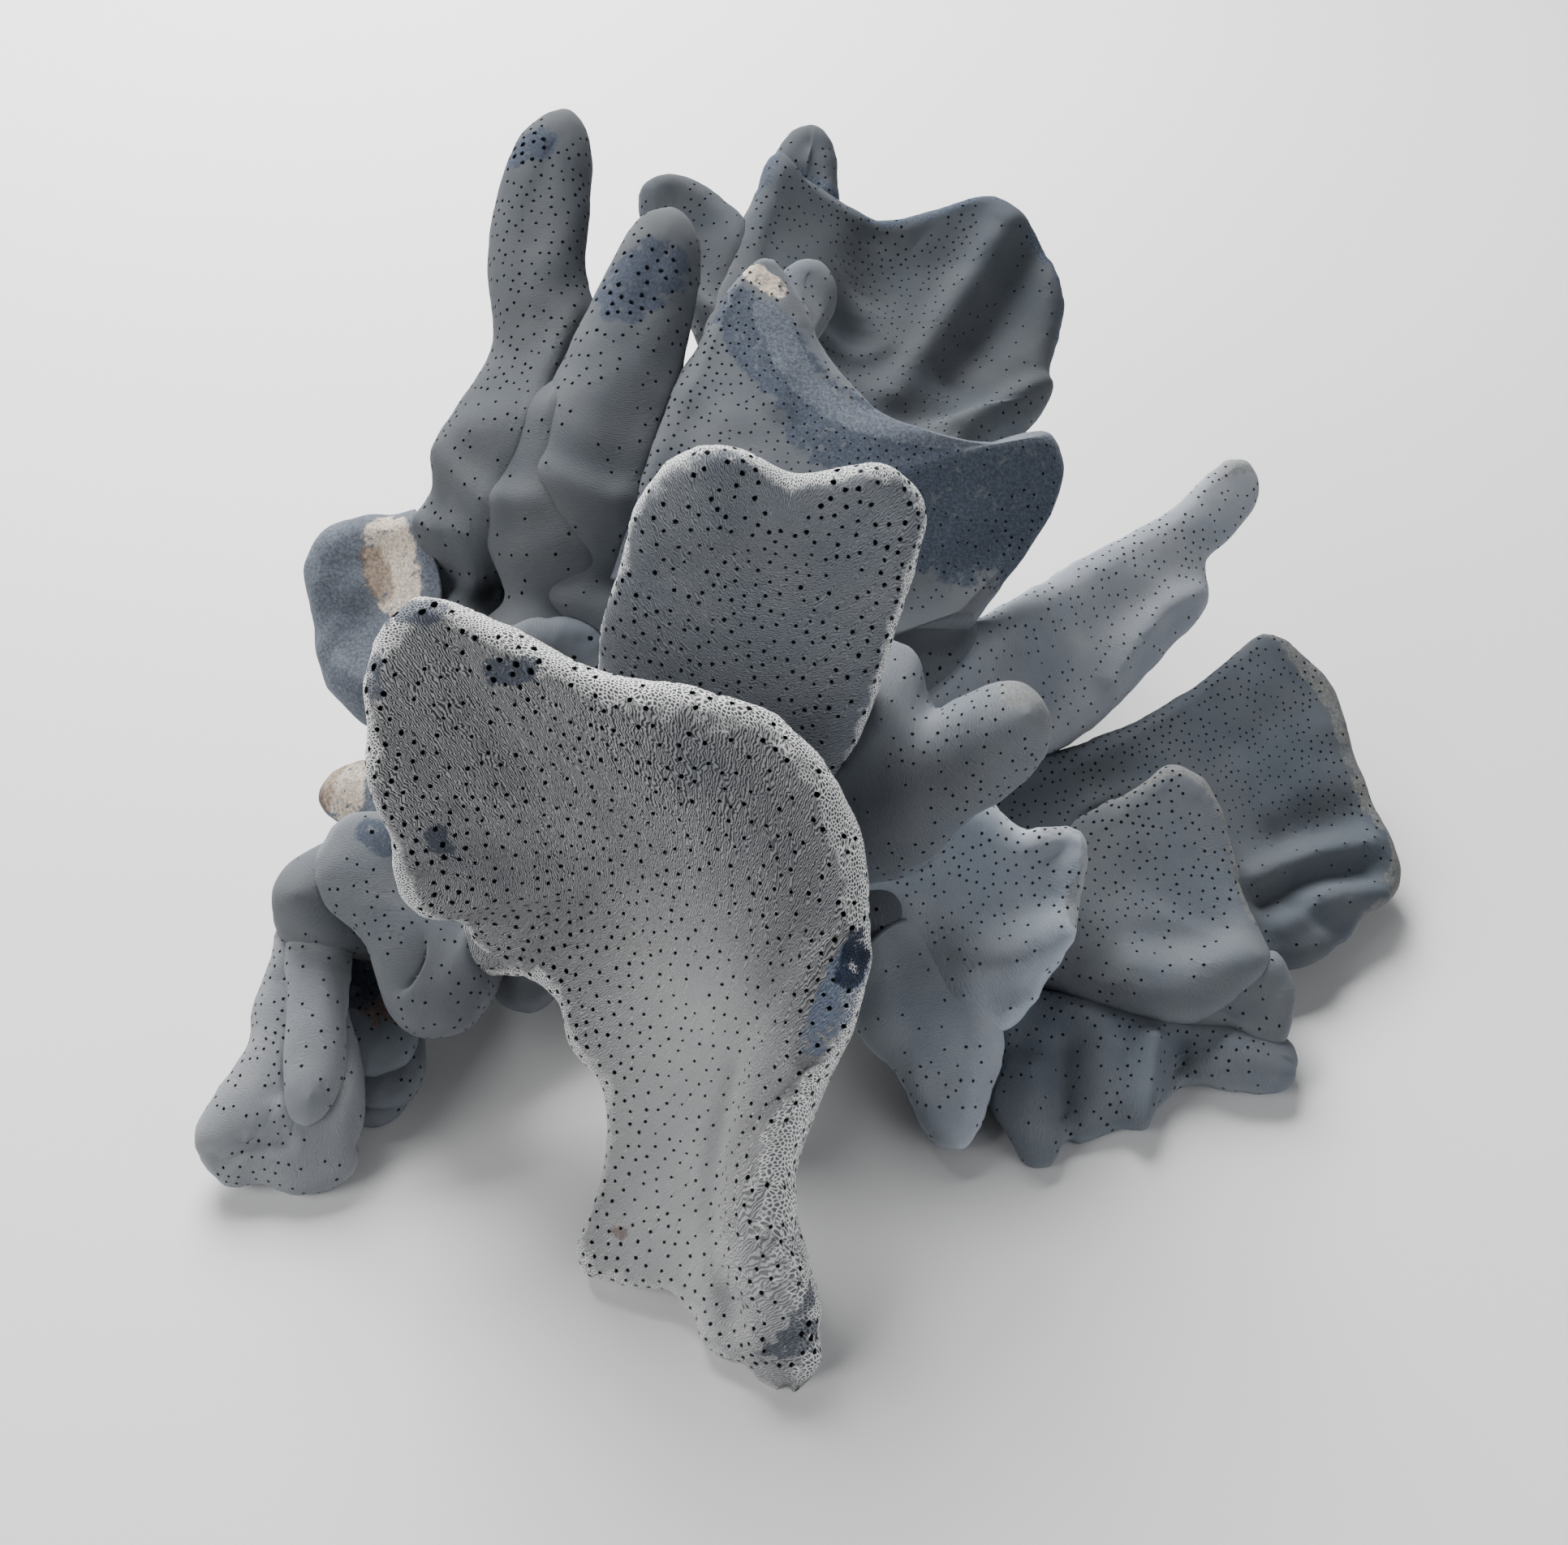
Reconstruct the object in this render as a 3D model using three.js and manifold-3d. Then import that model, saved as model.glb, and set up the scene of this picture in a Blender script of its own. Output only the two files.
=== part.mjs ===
// A broken-off piece of blue ridge coral: flattened blades, fans and fingers on one knotted base.
// Millimetres, +Z up. The origin is the middle of the flat cut under the base, and the front faces -Y.
import * as THREE from 'three';
import { ConvexGeometry } from 'three/addons/geometries/ConvexGeometry.js';
import { mergeVertices } from 'three/addons/utils/BufferGeometryUtils.js';
import Module from 'manifold-3d';

// Driving dimensions
const GAP = 0.3;
const BASE_RADII = [38, 28, 27];
const BASE_MIDDLE = 14;
const BASE_SEGMENTS = [20, 12];
const BLADE_EDGE = 1.3;
const FINGER_EDGE = 1.8;
const STATION_STEP = 9;
const STATION_LIMITS = [4, 16];

// Places across a blade, from its left rim at -1 through its spine at 0 to its right rim at 1
const ACROSS = [-1, -0.8, -0.4, 0, 0.4, 0.8, 1];
const LEFT_COLUMNS = [0, 1, 2, 3, 9, 10, 11];
const RIGHT_COLUMNS = [3, 4, 5, 6, 7, 8, 9];

// Skin tones of the dry skeleton
const PALE = { color: 0x8b8f93, roughness: 0.9, metalness: 0 };
const GREY = { color: 0x6b7075, roughness: 0.9, metalness: 0 };
const SLATE = { color: 0x53595f, roughness: 0.9, metalness: 0 };
const BROKEN = { color: 0x5b6672, roughness: 0.95, metalness: 0 };

// Each blade has a left and a right rim, both listed from its root up to the tip where they meet, and a
// spine between them. half is half its thickness at the root and at the tip, and edge is how far in from
// the rim it starts to round over, in half thicknesses.
const BASE_STEMS = [
  // Neck of the front blade
  {
    left: [[-10, -16, 18], [-6, -31, 25], [1, -38, 31]],
    tip: [6, -43, 29],
    right: [[9, -20, 6], [11, -38, 10], [10, -44, 23]],
    spine: [[-2, -12, 12], [1, -31, 18], [4, -40, 27]],
    half: [9, 7], edge: BLADE_EDGE,
  },
  // Left stem
  {
    left: [[-12, -2, 30], [-28, -14, 27]],
    tip: [-41, -27, 17],
    right: [[-6, -18, 6], [-24, -32, 7], [-36, -33, 9]],
    spine: [[-10, -8, 16], [-24, -20, 17], [-35, -27, 16]],
    half: [10, 6], edge: FINGER_EDGE,
  },
  // Right stem
  {
    left: [[12, -2, 34], [27, -12, 31]],
    tip: [39, -26, 17],
    right: [[8, -18, 6], [26, -34, 9], [34, -33, 11]],
    spine: [[10, -8, 20], [24, -20, 20], [33, -26, 16]],
    half: [10, 6], edge: FINGER_EDGE,
  },
  // Ledge behind the front blade
  {
    left: [[-25, -7, 32], [-24, -4, 40], [-20, -4, 42]],
    tip: [-15, -4, 43],
    right: [[-8, -10, 35], [-12, -5, 42]],
    spine: [[-17, -10, 29], [-17, -6, 39]],
    half: [4, 2.6], edge: BLADE_EDGE,
  },
];

const BRANCHES = {
  front_blade: {
    skin: PALE,
    blades: [
      {
        left: [
          [9, -82, 1], [-4, -75, 1], [-12, -71, 2], [-9, -62, 5], [-10, -52, 8], [-17, -38, 11],
          [-23, -33, 16], [-28, -35, 26], [-32, -42, 35], [-31, -40, 42], [-34, -36, 47],
        ],
        tip: [-34, -30, 54],
        right: [
          [14, -82, 1], [16, -77, 4], [13, -72, 11], [12, -67, 17],
          [15, -62, 23], [20, -57, 32], [21, -52, 40],
          [19, -43, 50], [12, -36, 57], [3, -34, 59], [-8, -31, 59],
          [-20, -26, 62], [-29, -23, 62], [-33, -25, 59],
        ],
        spine: [
          [11, -80, 1], [4, -72, 4], [2, -62, 11], [4, -54, 22], [4, -46, 33], [-1, -41, 41],
          [-9, -37, 47], [-18, -34, 51], [-26, -33, 52],
        ],
        half: [3, 2.8], edge: BLADE_EDGE,
      },
    ],
  },
  centre_blade: {
    skin: GREY,
    blades: [
      {
        left: [
          [-11, -11, 41], [-10, -11, 50], [-6, -11, 62], [-4, -10, 67],
          [0, -9, 71], [6, -8, 72], [10, -9, 71],
        ],
        tip: [13, -11, 70],
        right: [
          [20, -21, 38], [24, -19, 50], [27, -15, 60], [28, -12, 66],
          [26, -10, 69], [22, -10, 71], [17, -10, 70],
        ],
        spine: [[4, -16, 31], [9, -14, 50], [11, -13, 61]],
        half: [4.5, 3], edge: BLADE_EDGE,
      },
    ],
  },
  tall_finger: {
    skin: GREY,
    blades: [
      {
        left: [
          [-39, 9, 32], [-35, 17, 47], [-33, 25, 53], [-28, 35, 59],
          [-29, 45, 65], [-28, 53, 71], [-24, 60, 76],
        ],
        tip: [-18, 64, 78],
        right: [[-13, 2, 31], [-15, 20, 47], [-16, 34, 57], [-16, 44, 64], [-15, 53, 70], [-15, 60, 75]],
        spine: [[-27, 4, 26], [-24, 16, 44], [-22, 34, 58], [-22, 50, 69], [-20, 58, 74]],
        half: [8, 4.2], edge: FINGER_EDGE,
      },
    ],
  },
  short_finger: {
    skin: GREY,
    blades: [
      {
        left: [[-18, 3, 36], [-17, 18, 53], [-16, 28, 60], [-13, 38, 67], [-8, 45, 72]],
        tip: [-3, 48, 73],
        right: [[-4, 1, 38], [-5, 16, 50], [-3, 27, 57], [0, 38, 65], [0, 46, 70]],
        spine: [[-11, -1, 35], [-11, 17, 54], [-9, 31, 62], [-5, 42, 69]],
        half: [7, 4], edge: FINGER_EDGE,
      },
    ],
  },
  broken_plate: {
    skin: BROKEN,
    blades: [
      // Plate
      {
        left: [
          [-10, 2, 44], [-7, 13, 51], [-2, 24, 57], [5, 37, 64], [8, 41, 67], [11, 43, 68], [13, 39, 64],
        ],
        tip: [17, 30, 59],
        right: [
          [37, 2, 38], [44, 11, 41], [48, 17, 45], [49, 21, 49], [47, 23, 53], [41, 21, 53], [33, 20, 54],
          [26, 22, 55],
        ],
        spine: [[10, -9, 36], [11, 4, 48], [11, 18, 56]],
        half: [5, 3.4], edge: BLADE_EDGE,
      },
      // Lobe behind the peak
      {
        left: [[10, 35, 59], [11, 42, 63], [12, 46, 65]],
        tip: [15, 48, 66],
        right: [[16, 36, 58], [19, 43, 60], [19, 47, 63]],
        spine: [[13, 32, 57], [14, 39, 60], [15, 45, 63]],
        half: [4, 3.2], edge: BLADE_EDGE,
      },
    ],
  },
  back_fan: {
    skin: SLATE,
    blades: [
      // Fan
      {
        left: [
          [-4, 30, 45], [-2, 46, 52], [3, 60, 57], [8, 73, 62], [11, 79, 65], [14, 77, 62], [19, 76, 59],
          [27, 75, 57],
        ],
        tip: [35, 77, 57],
        right: [
          [32, 25, 37], [44, 43, 39], [51, 50, 38], [53, 58, 42],
          [55, 66, 46], [54, 72, 51], [50, 77, 55],
          [45, 80, 58], [40, 79, 58],
        ],
        spine: [[11, 15, 36], [17, 43, 41], [26, 61, 45]],
        half: [5, 3.2], edge: BLADE_EDGE,
      },
      // Left lobe
      {
        left: [[-8, 55, 50], [-10, 68, 59], [-10, 73, 62]],
        tip: [-7, 76, 64],
        right: [[5, 55, 50], [5, 68, 59], [3, 72, 61], [-1, 75, 63]],
        spine: [[-2, 46, 45], [-3, 60, 54], [-4, 71, 60]],
        half: [4.5, 3.5], edge: BLADE_EDGE,
      },
      // Spike behind
      {
        left: [[7, 70, 50], [9, 79, 58], [11, 86, 63]],
        tip: [17, 90, 66],
        right: [[19, 70, 50], [20, 80, 58], [20, 86, 63]],
        spine: [[13, 61, 44], [15, 76, 55], [16, 85, 61]],
        half: [4.5, 3.5], edge: BLADE_EDGE,
      },
    ],
  },
  right_finger: {
    skin: GREY,
    blades: [
      // Finger
      {
        left: [[27, -17, 36], [35, -17, 43], [40, -17, 46]],
        tip: [44, -19, 45],
        right: [[25, -27, 20], [32, -27, 26], [38, -26, 34], [43, -24, 38], [45, -21, 42]],
        spine: [[18, -17, 22], [31, -22, 36], [40, -21, 43]],
        half: [6, 4.5], edge: FINGER_EDGE,
      },
      // Knob at its root
      {
        left: [[20, -14, 34], [22, -10, 41]],
        tip: [26, -8, 45],
        right: [[30, -16, 33], [30, -13, 38], [29, -10, 43]],
        spine: [[22, -16, 27], [25, -15, 38], [26, -12, 42]],
        half: [5, 4], edge: FINGER_EDGE,
      },
    ],
  },
  right_frond: {
    skin: GREY,
    blades: [
      {
        left: [[24, -6, 32], [43, 12, 33], [62, 27, 33], [69, 32, 34], [74, 37, 36]],
        tip: [81, 42, 37],
        right: [
          [30, -14, 22], [48, -4, 20], [59, 6, 19], [68, 15, 22],
          [73, 21, 24], [74, 28, 28], [79, 33, 30],
          [83, 38, 33],
        ],
        spine: [[20, -10, 26], [44, 4, 28], [60, 17, 29], [73, 29, 32]],
        half: [5, 3.2], edge: BLADE_EDGE,
      },
    ],
  },
  right_back_fan: {
    skin: SLATE,
    blades: [
      {
        left: [[27, -14, 20], [51, -4, 19], [70, 9, 19], [77, 15, 20], [83, 19, 21], [89, 16, 18]],
        tip: [93, 11, 15],
        right: [
          [30, -27, 10], [53, -28, 9], [70, -30, 4], [82, -29, 4],
          [88, -25, 4], [92, -20, 4], [97, -16, 4], [98, -11, 5],
          [96, -4, 8], [94, 4, 11],
        ],
        spine: [[24, -20, 16], [58, -13, 14], [78, -3, 13]],
        half: [4.5, 3], edge: BLADE_EDGE,
      },
    ],
  },
  right_mid_fan: {
    skin: GREY,
    blades: [
      // Fan
      {
        left: [[27, -22, 20], [51, -16, 20], [60, -11, 22], [66, -11, 21]],
        tip: [70, -16, 17],
        right: [
          [26, -33, 12], [42, -35, 13], [52, -38, 12], [60, -40, 10],
          [66, -39, 8], [72, -34, 8], [73, -29, 10], [72, -22, 13],
        ],
        spine: [[22, -26, 17], [50, -27, 16], [62, -26, 14]],
        half: [4.5, 3], edge: BLADE_EDGE,
      },
      // Side lobe
      {
        left: [[61, -32, 8], [74, -30, 8], [77, -31, 7]],
        tip: [79, -33, 6],
        right: [[63, -39, 4], [75, -39, 4], [78, -36, 5]],
        spine: [[60, -35, 6], [68, -35, 6], [75, -35, 6]],
        half: [4, 3], edge: BLADE_EDGE,
      },
    ],
  },
  right_front_fan: {
    skin: GREY,
    blades: [
      // Fan
      {
        left: [[27, -26, 22], [35, -25, 28], [39, -24, 30], [42, -25, 27], [48, -24, 27]],
        tip: [51, -26, 25],
        right: [[29, -40, 12], [35, -44, 13], [40, -44, 13], [45, -40, 15], [48, -34, 20]],
        spine: [[20, -27, 17], [34, -34, 20], [43, -31, 22]],
        half: [5, 3.2], edge: BLADE_EDGE,
      },
      // Lobe that hangs below
      {
        left: [[22, -37, 13], [25, -47, 10], [28, -55, 6]],
        tip: [32, -58, 5],
        right: [[35, -37, 16], [38, -48, 11], [38, -51, 9], [35, -55, 6]],
        spine: [[28, -35, 14], [30, -46, 11], [32, -53, 7]],
        half: [5, 3.5], edge: BLADE_EDGE,
      },
    ],
  },
  right_foot: {
    skin: SLATE,
    blades: [
      // Low fan
      {
        left: [[32, -25, 12], [48, -32, 8], [60, -36, 6], [72, -38, 5], [77, -40, 5]],
        tip: [77, -43, 4],
        right: [[30, -36, 7], [45, -42, 4], [59, -44, 3], [68, -45, 3], [72, -47, 3], [75, -46, 3]],
        spine: [[28, -30, 11], [45, -37, 6], [57, -40, 4], [70, -43, 4]],
        half: [4.5, 3], edge: BLADE_EDGE,
      },
      // Front toe
      {
        left: [[38, -35, 10], [39, -47, 6], [40, -54, 3]],
        tip: [44, -59, 1],
        right: [[54, -38, 8], [51, -46, 6], [48, -54, 3], [47, -57, 1]],
        spine: [[46, -32, 8], [46, -44, 6], [44, -54, 3]],
        half: [5, 3.2], edge: BLADE_EDGE,
      },
      // Back toe
      {
        left: [[48, -38, 4], [51, -50, 2]],
        tip: [54, -53, 2],
        right: [[68, -40, 5], [64, -47, 3], [59, -52, 2]],
        spine: [[57, -34, 4], [57, -44, 3], [56, -50, 2]],
        half: [4.5, 3], edge: BLADE_EDGE,
      },
    ],
  },
  left_shoulder: {
    skin: GREY,
    blades: [
      {
        left: [[-32, -19, 26], [-44, -22, 26], [-50, -25, 23]],
        tip: [-53, -29, 19],
        right: [[-37, -33, 10], [-47, -35, 11], [-52, -33, 14]],
        spine: [[-28, -22, 17], [-42, -28, 19], [-48, -29, 19]],
        half: [6, 5.5], edge: FINGER_EDGE,
      },
    ],
  },
  left_knee: {
    skin: GREY,
    blades: [
      // Knee
      {
        left: [[-32, -24, 24], [-41, -26, 29], [-44, -31, 27], [-42, -37, 24]],
        tip: [-38, -43, 18],
        right: [[-20, -32, 13], [-24, -39, 16], [-25, -44, 16], [-29, -47, 14], [-34, -46, 15]],
        spine: [[-24, -25, 18], [-32, -34, 22], [-34, -40, 19]],
        half: [6, 4.5], edge: BLADE_EDGE,
      },
      // Lobe underneath
      {
        left: [[-28, -27, 5], [-26, -32, 4]],
        tip: [-22, -35, 4],
        right: [[-18, -29, 5], [-18, -34, 4]],
        spine: [[-23, -24, 7], [-22, -30, 5]],
        half: [4, 3.8], edge: BLADE_EDGE,
      },
    ],
  },
  left_foot: {
    skin: PALE,
    blades: [
      {
        left: [[-45, -32, 12], [-52, -36, 12], [-54, -45, 9], [-58, -53, 6]],
        tip: [-60, -57, 5],
        right: [
          [-44, -34, 12], [-43, -42, 12], [-43, -53, 6], [-40, -57, 4],
          [-42, -60, 3], [-50, -61, 3], [-56, -61, 3],
        ],
        spine: [[-40, -28, 12], [-48, -44, 9], [-51, -55, 5]],
        half: [5, 3.8], edge: BLADE_EDGE,
      },
    ],
  },
  left_back_foot: {
    skin: GREY,
    blades: [
      {
        left: [[-43, -34, 6], [-44, -43, 4], [-43, -50, 3]],
        tip: [-39, -53, 2],
        right: [[-34, -36, 6], [-33, -46, 4], [-35, -51, 3]],
        spine: [[-37, -27, 10], [-39, -43, 4], [-39, -48, 3]],
        half: [5, 4.5], edge: BLADE_EDGE,
      },
    ],
  },
  stump: {
    skin: BROKEN,
    blades: [
      // Upper break
      {
        left: [[-39, 23, 39], [-51, 21, 38], [-54, 17, 35]],
        tip: [-53, 12, 30],
        right: [[-37, -4, 24], [-46, -2, 23], [-51, 4, 25]],
        spine: [[-31, 10, 30], [-46, 11, 30]],
        half: [9, 7], edge: BLADE_EDGE,
      },
      // Lower break
      {
        left: [[-39, -8, 23], [-49, -8, 20]],
        tip: [-52, -11, 18],
        right: [[-41, -18, 18], [-49, -14, 17]],
        spine: [[-30, -12, 21], [-47, -11, 18]],
        half: [6, 5], edge: BLADE_EDGE,
      },
    ],
  },
};

const wasm = await Module();
wasm.setup();

const vector = (point) => new THREE.Vector3(...point);
const curve = (points) => new THREE.CatmullRomCurve3(points.map(vector), false, 'centripetal');

// Matching points up the left rim, the spine and the right rim, from the root to the tip
function stations(blade) {
  const rim = curve([...blade.left, blade.tip, ...blade.right.toReversed()]);
  const spine = curve(blade.spine);
  const parts = 20;
  rim.arcLengthDivisions = parts * (rim.points.length - 1);
  const lengths = rim.getLengths();
  const tip = lengths[parts * blade.left.length] / lengths.at(-1);
  const longest = Math.max(tip, 1 - tip) * lengths.at(-1);
  const steps = THREE.MathUtils.clamp(Math.round(longest / STATION_STEP), ...STATION_LIMITS);
  return Array.from({ length: steps + 1 }, (_, i) => {
    const s = i / steps;
    const left = rim.getPointAt(tip * s);
    const right = rim.getPointAt(1 - (1 - tip) * s);
    return { s, left, spine: spine.getPointAt(s), right };
  });
}

// A point of the middle sheet: two straight ribs that round into one arc towards the root
function middlePoint({ s, left, spine, right }, x) {
  const rim = x < 0 ? left : right;
  const straight = spine.clone().lerp(rim, Math.abs(x));
  const arc = left.clone().multiplyScalar(x * (x - 1) / 2);
  arc.addScaledVector(spine, 1 - x * x);
  arc.addScaledVector(right, x * (x + 1) / 2);
  return straight.lerp(arc, 0.5 * (1 - s));
}

// Half thickness at x, constant over the face and rounded off as a quarter ellipse at the rim
function halfThickness(blade, { s, left, spine, right }, x, grow) {
  const half = THREE.MathUtils.lerp(...blade.half, s) + grow;
  const rib = spine.distanceTo(x < 0 ? left : right);
  const round = Math.min(blade.edge * half, 0.98 * rib);
  const inward = Math.min((1 - Math.abs(x)) * rib / round, 1);
  return half * Math.sqrt(1 - (1 - inward) ** 2);
}

// Directions square to the middle sheet, averaged with their neighbours up and down the blade
function sheetNormals(sheet) {
  const last = sheet.length - 1;
  const end = ACROSS.length - 1;
  const raw = sheet.map((row, i) => row.map((_, j) => {
    const over = row[Math.min(j + 1, end)].clone().sub(row[Math.max(j - 1, 0)]);
    const up = sheet[Math.min(i + 1, last)][j].clone().sub(sheet[Math.max(i - 1, 0)][j]);
    return over.cross(up).normalize();
  }));
  raw[last] = raw[last].map((n, j) => n.clone().add(raw[last][end - j]).normalize());
  return raw.map((row, i) => row.map((n, j) => {
    const below = raw[Math.max(i - 1, 0)][j];
    const above = raw[Math.min(i + 1, last)][j];
    return n.clone().multiplyScalar(2).add(below).add(above).normalize();
  }));
}

// Rows of points round the blade: front face from left to right, then the back face from right to left
function bladeRows(blade, grow) {
  const ribs = stations(blade);
  for (const rib of ribs) {
    rib.left.lerp(rib.spine, -grow / rib.left.distanceTo(rib.spine));
    rib.right.lerp(rib.spine, -grow / rib.right.distanceTo(rib.spine));
  }
  const sheet = ribs.map((rib) => ACROSS.map((x) => middlePoint(rib, x)));
  const normals = sheetNormals(sheet);
  const face = (i, j, side) => {
    const thickness = side * halfThickness(blade, ribs[i], ACROSS[j], grow);
    return sheet[i][j].clone().addScaledVector(normals[i][j], thickness);
  };
  const columns = ACROSS.map((_, j) => j);
  return ribs.map((_, i) => [
    ...columns.map((j) => face(i, j, 1)),
    ...columns.slice(1, -1).reverse().map((j) => face(i, j, -1)),
  ]);
}

function solidFrom(geometry) {
  const plain = geometry.clone();
  plain.deleteAttribute('normal');
  plain.deleteAttribute('uv');
  const merged = mergeVertices(plain);
  const vertProperties = new Float32Array(merged.attributes.position.array);
  const triVerts = new Uint32Array(merged.index.array);
  return new wasm.Manifold(new wasm.Mesh({ numProp: 3, vertProperties, triVerts }));
}

// A blade is a chain of convex slabs, a left and a right one between each two neighbouring rows
function bladeSolid(blade, grow) {
  const rows = bladeRows(blade, grow);
  rows[0].forEach((point, j) => point.addScaledVector(point.clone().sub(rows[1][j]).normalize(), grow));
  const slabs = [];
  for (let i = 1; i < rows.length; i += 1) {
    for (const columns of [LEFT_COLUMNS, RIGHT_COLUMNS]) {
      const corners = columns.flatMap((j) => [rows[i - 1][j], rows[i][j]]);
      slabs.push(solidFrom(new ConvexGeometry(corners)));
    }
  }
  return wasm.Manifold.union(slabs);
}

const bladesSolid = (blades, grow) => wasm.Manifold.union(blades.map((blade) => bladeSolid(blade, grow)));

// The knot that every branch springs from, with the stems that lead out of it
function baseSolid(grow) {
  const ball = new THREE.SphereGeometry(1, ...BASE_SEGMENTS);
  ball.rotateX(Math.PI / 2);
  ball.scale(...BASE_RADII.map((radius) => radius + grow));
  ball.translate(0, 0, BASE_MIDDLE);
  return solidFrom(ball).add(bladesSolid(BASE_STEMS, grow));
}

const aboveTable = (solid) => solid.trimByPlane([0, 0, 1], 0);

function largestBody(solid) {
  const bodies = solid.decompose();
  return bodies.reduce((best, body) => (body.volume() > best.volume() ? body : best));
}

function meshFrom(name, solid, skin) {
  const { vertProperties, triVerts } = solid.getMesh();
  const geometry = new THREE.BufferGeometry();
  geometry.setAttribute('position', new THREE.BufferAttribute(vertProperties, 3));
  geometry.setIndex(new THREE.BufferAttribute(triVerts, 1));
  geometry.computeVertexNormals();
  const mesh = new THREE.Mesh(geometry, new THREE.MeshStandardMaterial(skin));
  mesh.name = name;
  return mesh;
}

// The base comes first. Each branch then gives way to the pieces before it, with a small gap.
const coral = new THREE.Group();
const base = aboveTable(baseSolid(0));
const taken = [base, baseSolid(GAP)];
coral.add(meshFrom('base', base, GREY));
for (const [name, { skin, blades }] of Object.entries(BRANCHES)) {
  const whole = aboveTable(bladesSolid(blades, 0));
  const piece = largestBody(taken.reduce((rest, earlier) => rest.subtract(earlier), whole));
  coral.add(meshFrom(name, piece, skin));
  taken.push(whole, bladesSolid(blades, GAP));
}

export default coral;
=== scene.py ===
# %% [markdown]
# # Blue ridge coral
# This lesson gives a dry piece of blue ridge coral its looks. The coral is a limestone skeleton that grew as
# flattened blades, fans and fingers from one knot. Its face is pitted with the round pores that the polyps
# lived in, and fine ridges run between them.
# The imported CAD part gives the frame: every piece made here stands for one CAD solid and stays at its place.

# %% Load the frame
import math
from types import SimpleNamespace

import bpy
import numpy as np
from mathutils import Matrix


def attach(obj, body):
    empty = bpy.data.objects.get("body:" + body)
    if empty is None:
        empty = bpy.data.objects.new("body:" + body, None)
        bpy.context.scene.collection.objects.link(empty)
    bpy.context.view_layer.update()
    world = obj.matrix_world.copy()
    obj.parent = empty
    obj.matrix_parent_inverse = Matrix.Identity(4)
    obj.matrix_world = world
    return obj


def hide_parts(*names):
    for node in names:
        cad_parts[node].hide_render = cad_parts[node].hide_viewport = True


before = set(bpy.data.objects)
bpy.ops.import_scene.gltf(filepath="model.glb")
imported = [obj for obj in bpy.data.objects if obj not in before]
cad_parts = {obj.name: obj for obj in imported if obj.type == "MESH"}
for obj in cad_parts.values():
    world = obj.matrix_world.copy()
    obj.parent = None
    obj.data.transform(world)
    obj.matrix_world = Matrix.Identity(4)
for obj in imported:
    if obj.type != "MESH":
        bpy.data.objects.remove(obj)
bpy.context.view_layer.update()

# %% [markdown]
# The photo looks down on the coral from the front, so the camera is pitched 46 degrees below level. It stands
# close, about 24 cm away, which is why the front blade looks so much larger than the fans at the back.

# %% Camera
CAMERA_PLACE = (0.012, -0.161, 0.178)
CAMERA_PITCH = math.radians(46)
LENS_MM = 37.27
SENSOR_MM = 36
NEAREST_SEEN = 0.01

camera = bpy.data.objects.new("camera", bpy.data.cameras.new("camera"))
camera.location = CAMERA_PLACE
camera.rotation_euler = (math.pi / 2 - CAMERA_PITCH, 0, 0)
camera.data.lens = LENS_MM
camera.data.sensor_width = SENSOR_MM
camera.data.clip_start = NEAREST_SEEN
bpy.context.collection.objects.link(camera)
bpy.context.scene.camera = camera
print("camera", round(math.dist(CAMERA_PLACE, (0, 0, 0)), 3), "metres from the origin")

# %% [markdown]
# The coral lies on a plain pale surface. A window behind it throws soft shadows towards the camera, and weaker
# light comes from both sides. Wide area lights give such soft shadows, and an even world colour stands for the
# light that the room throws back.

# %% Floor and light
def plain_material(name, colour, roughness):
    """One even colour on a Principled shader."""
    material = bpy.data.materials.new(name)
    material.use_nodes = True
    shader = material.node_tree.nodes["Principled BSDF"]
    shader.inputs["Base Color"].default_value = (*colour, 1)
    shader.inputs["Roughness"].default_value = roughness
    return material


def area_light(name, place, target, size, watts, colour):
    """A square lamp at place that faces the target."""
    lamp = bpy.data.lights.new(name, "AREA")
    lamp.size = size
    lamp.energy = watts
    lamp.color = colour
    light = bpy.data.objects.new(name, lamp)
    light.location = place
    aim = np.array(target) - np.array(place)
    flat = math.hypot(aim[0], aim[1])
    light.rotation_euler = (math.atan2(flat, -aim[2]), 0, math.atan2(-aim[0], aim[1]))
    bpy.context.collection.objects.link(light)


FLOOR_REACH = 3.0
FLOOR_GREY = (0.78, 0.78, 0.78)
FLOOR_ROUGHNESS = 0.6
DAYLIGHT = (1, 1, 0.985)
COOL_LIGHT = (0.97, 0.98, 1)
ROOM_COLOUR = (0.95, 0.97, 1, 1)
ROOM_STRENGTH = 0.11

floor_mesh = bpy.data.meshes.new("floor")
floor_corners = [(x * FLOOR_REACH, y * FLOOR_REACH, 0) for x, y in ((-1, -1), (1, -1), (1, 1), (-1, 1))]
floor_mesh.from_pydata(floor_corners, [], [(0, 1, 2, 3)])
floor_mesh.materials.append(plain_material("pale floor", FLOOR_GREY, FLOOR_ROUGHNESS))
floor = bpy.data.objects.new("floor", floor_mesh)
bpy.context.collection.objects.link(floor)

area_light("soft window light", (-0.15, 0.48, 0.48), (0, 0, 0), size=0.4, watts=14, colour=DAYLIGHT)
area_light("soft left light", (-0.8, -0.35, 0.5), (0, 0, 0), size=0.5, watts=6, colour=DAYLIGHT)
area_light("soft right light", (0.7, -0.45, 0.3), (0.03, -0.03, 0), size=0.6, watts=2.5, colour=COOL_LIGHT)

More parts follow.
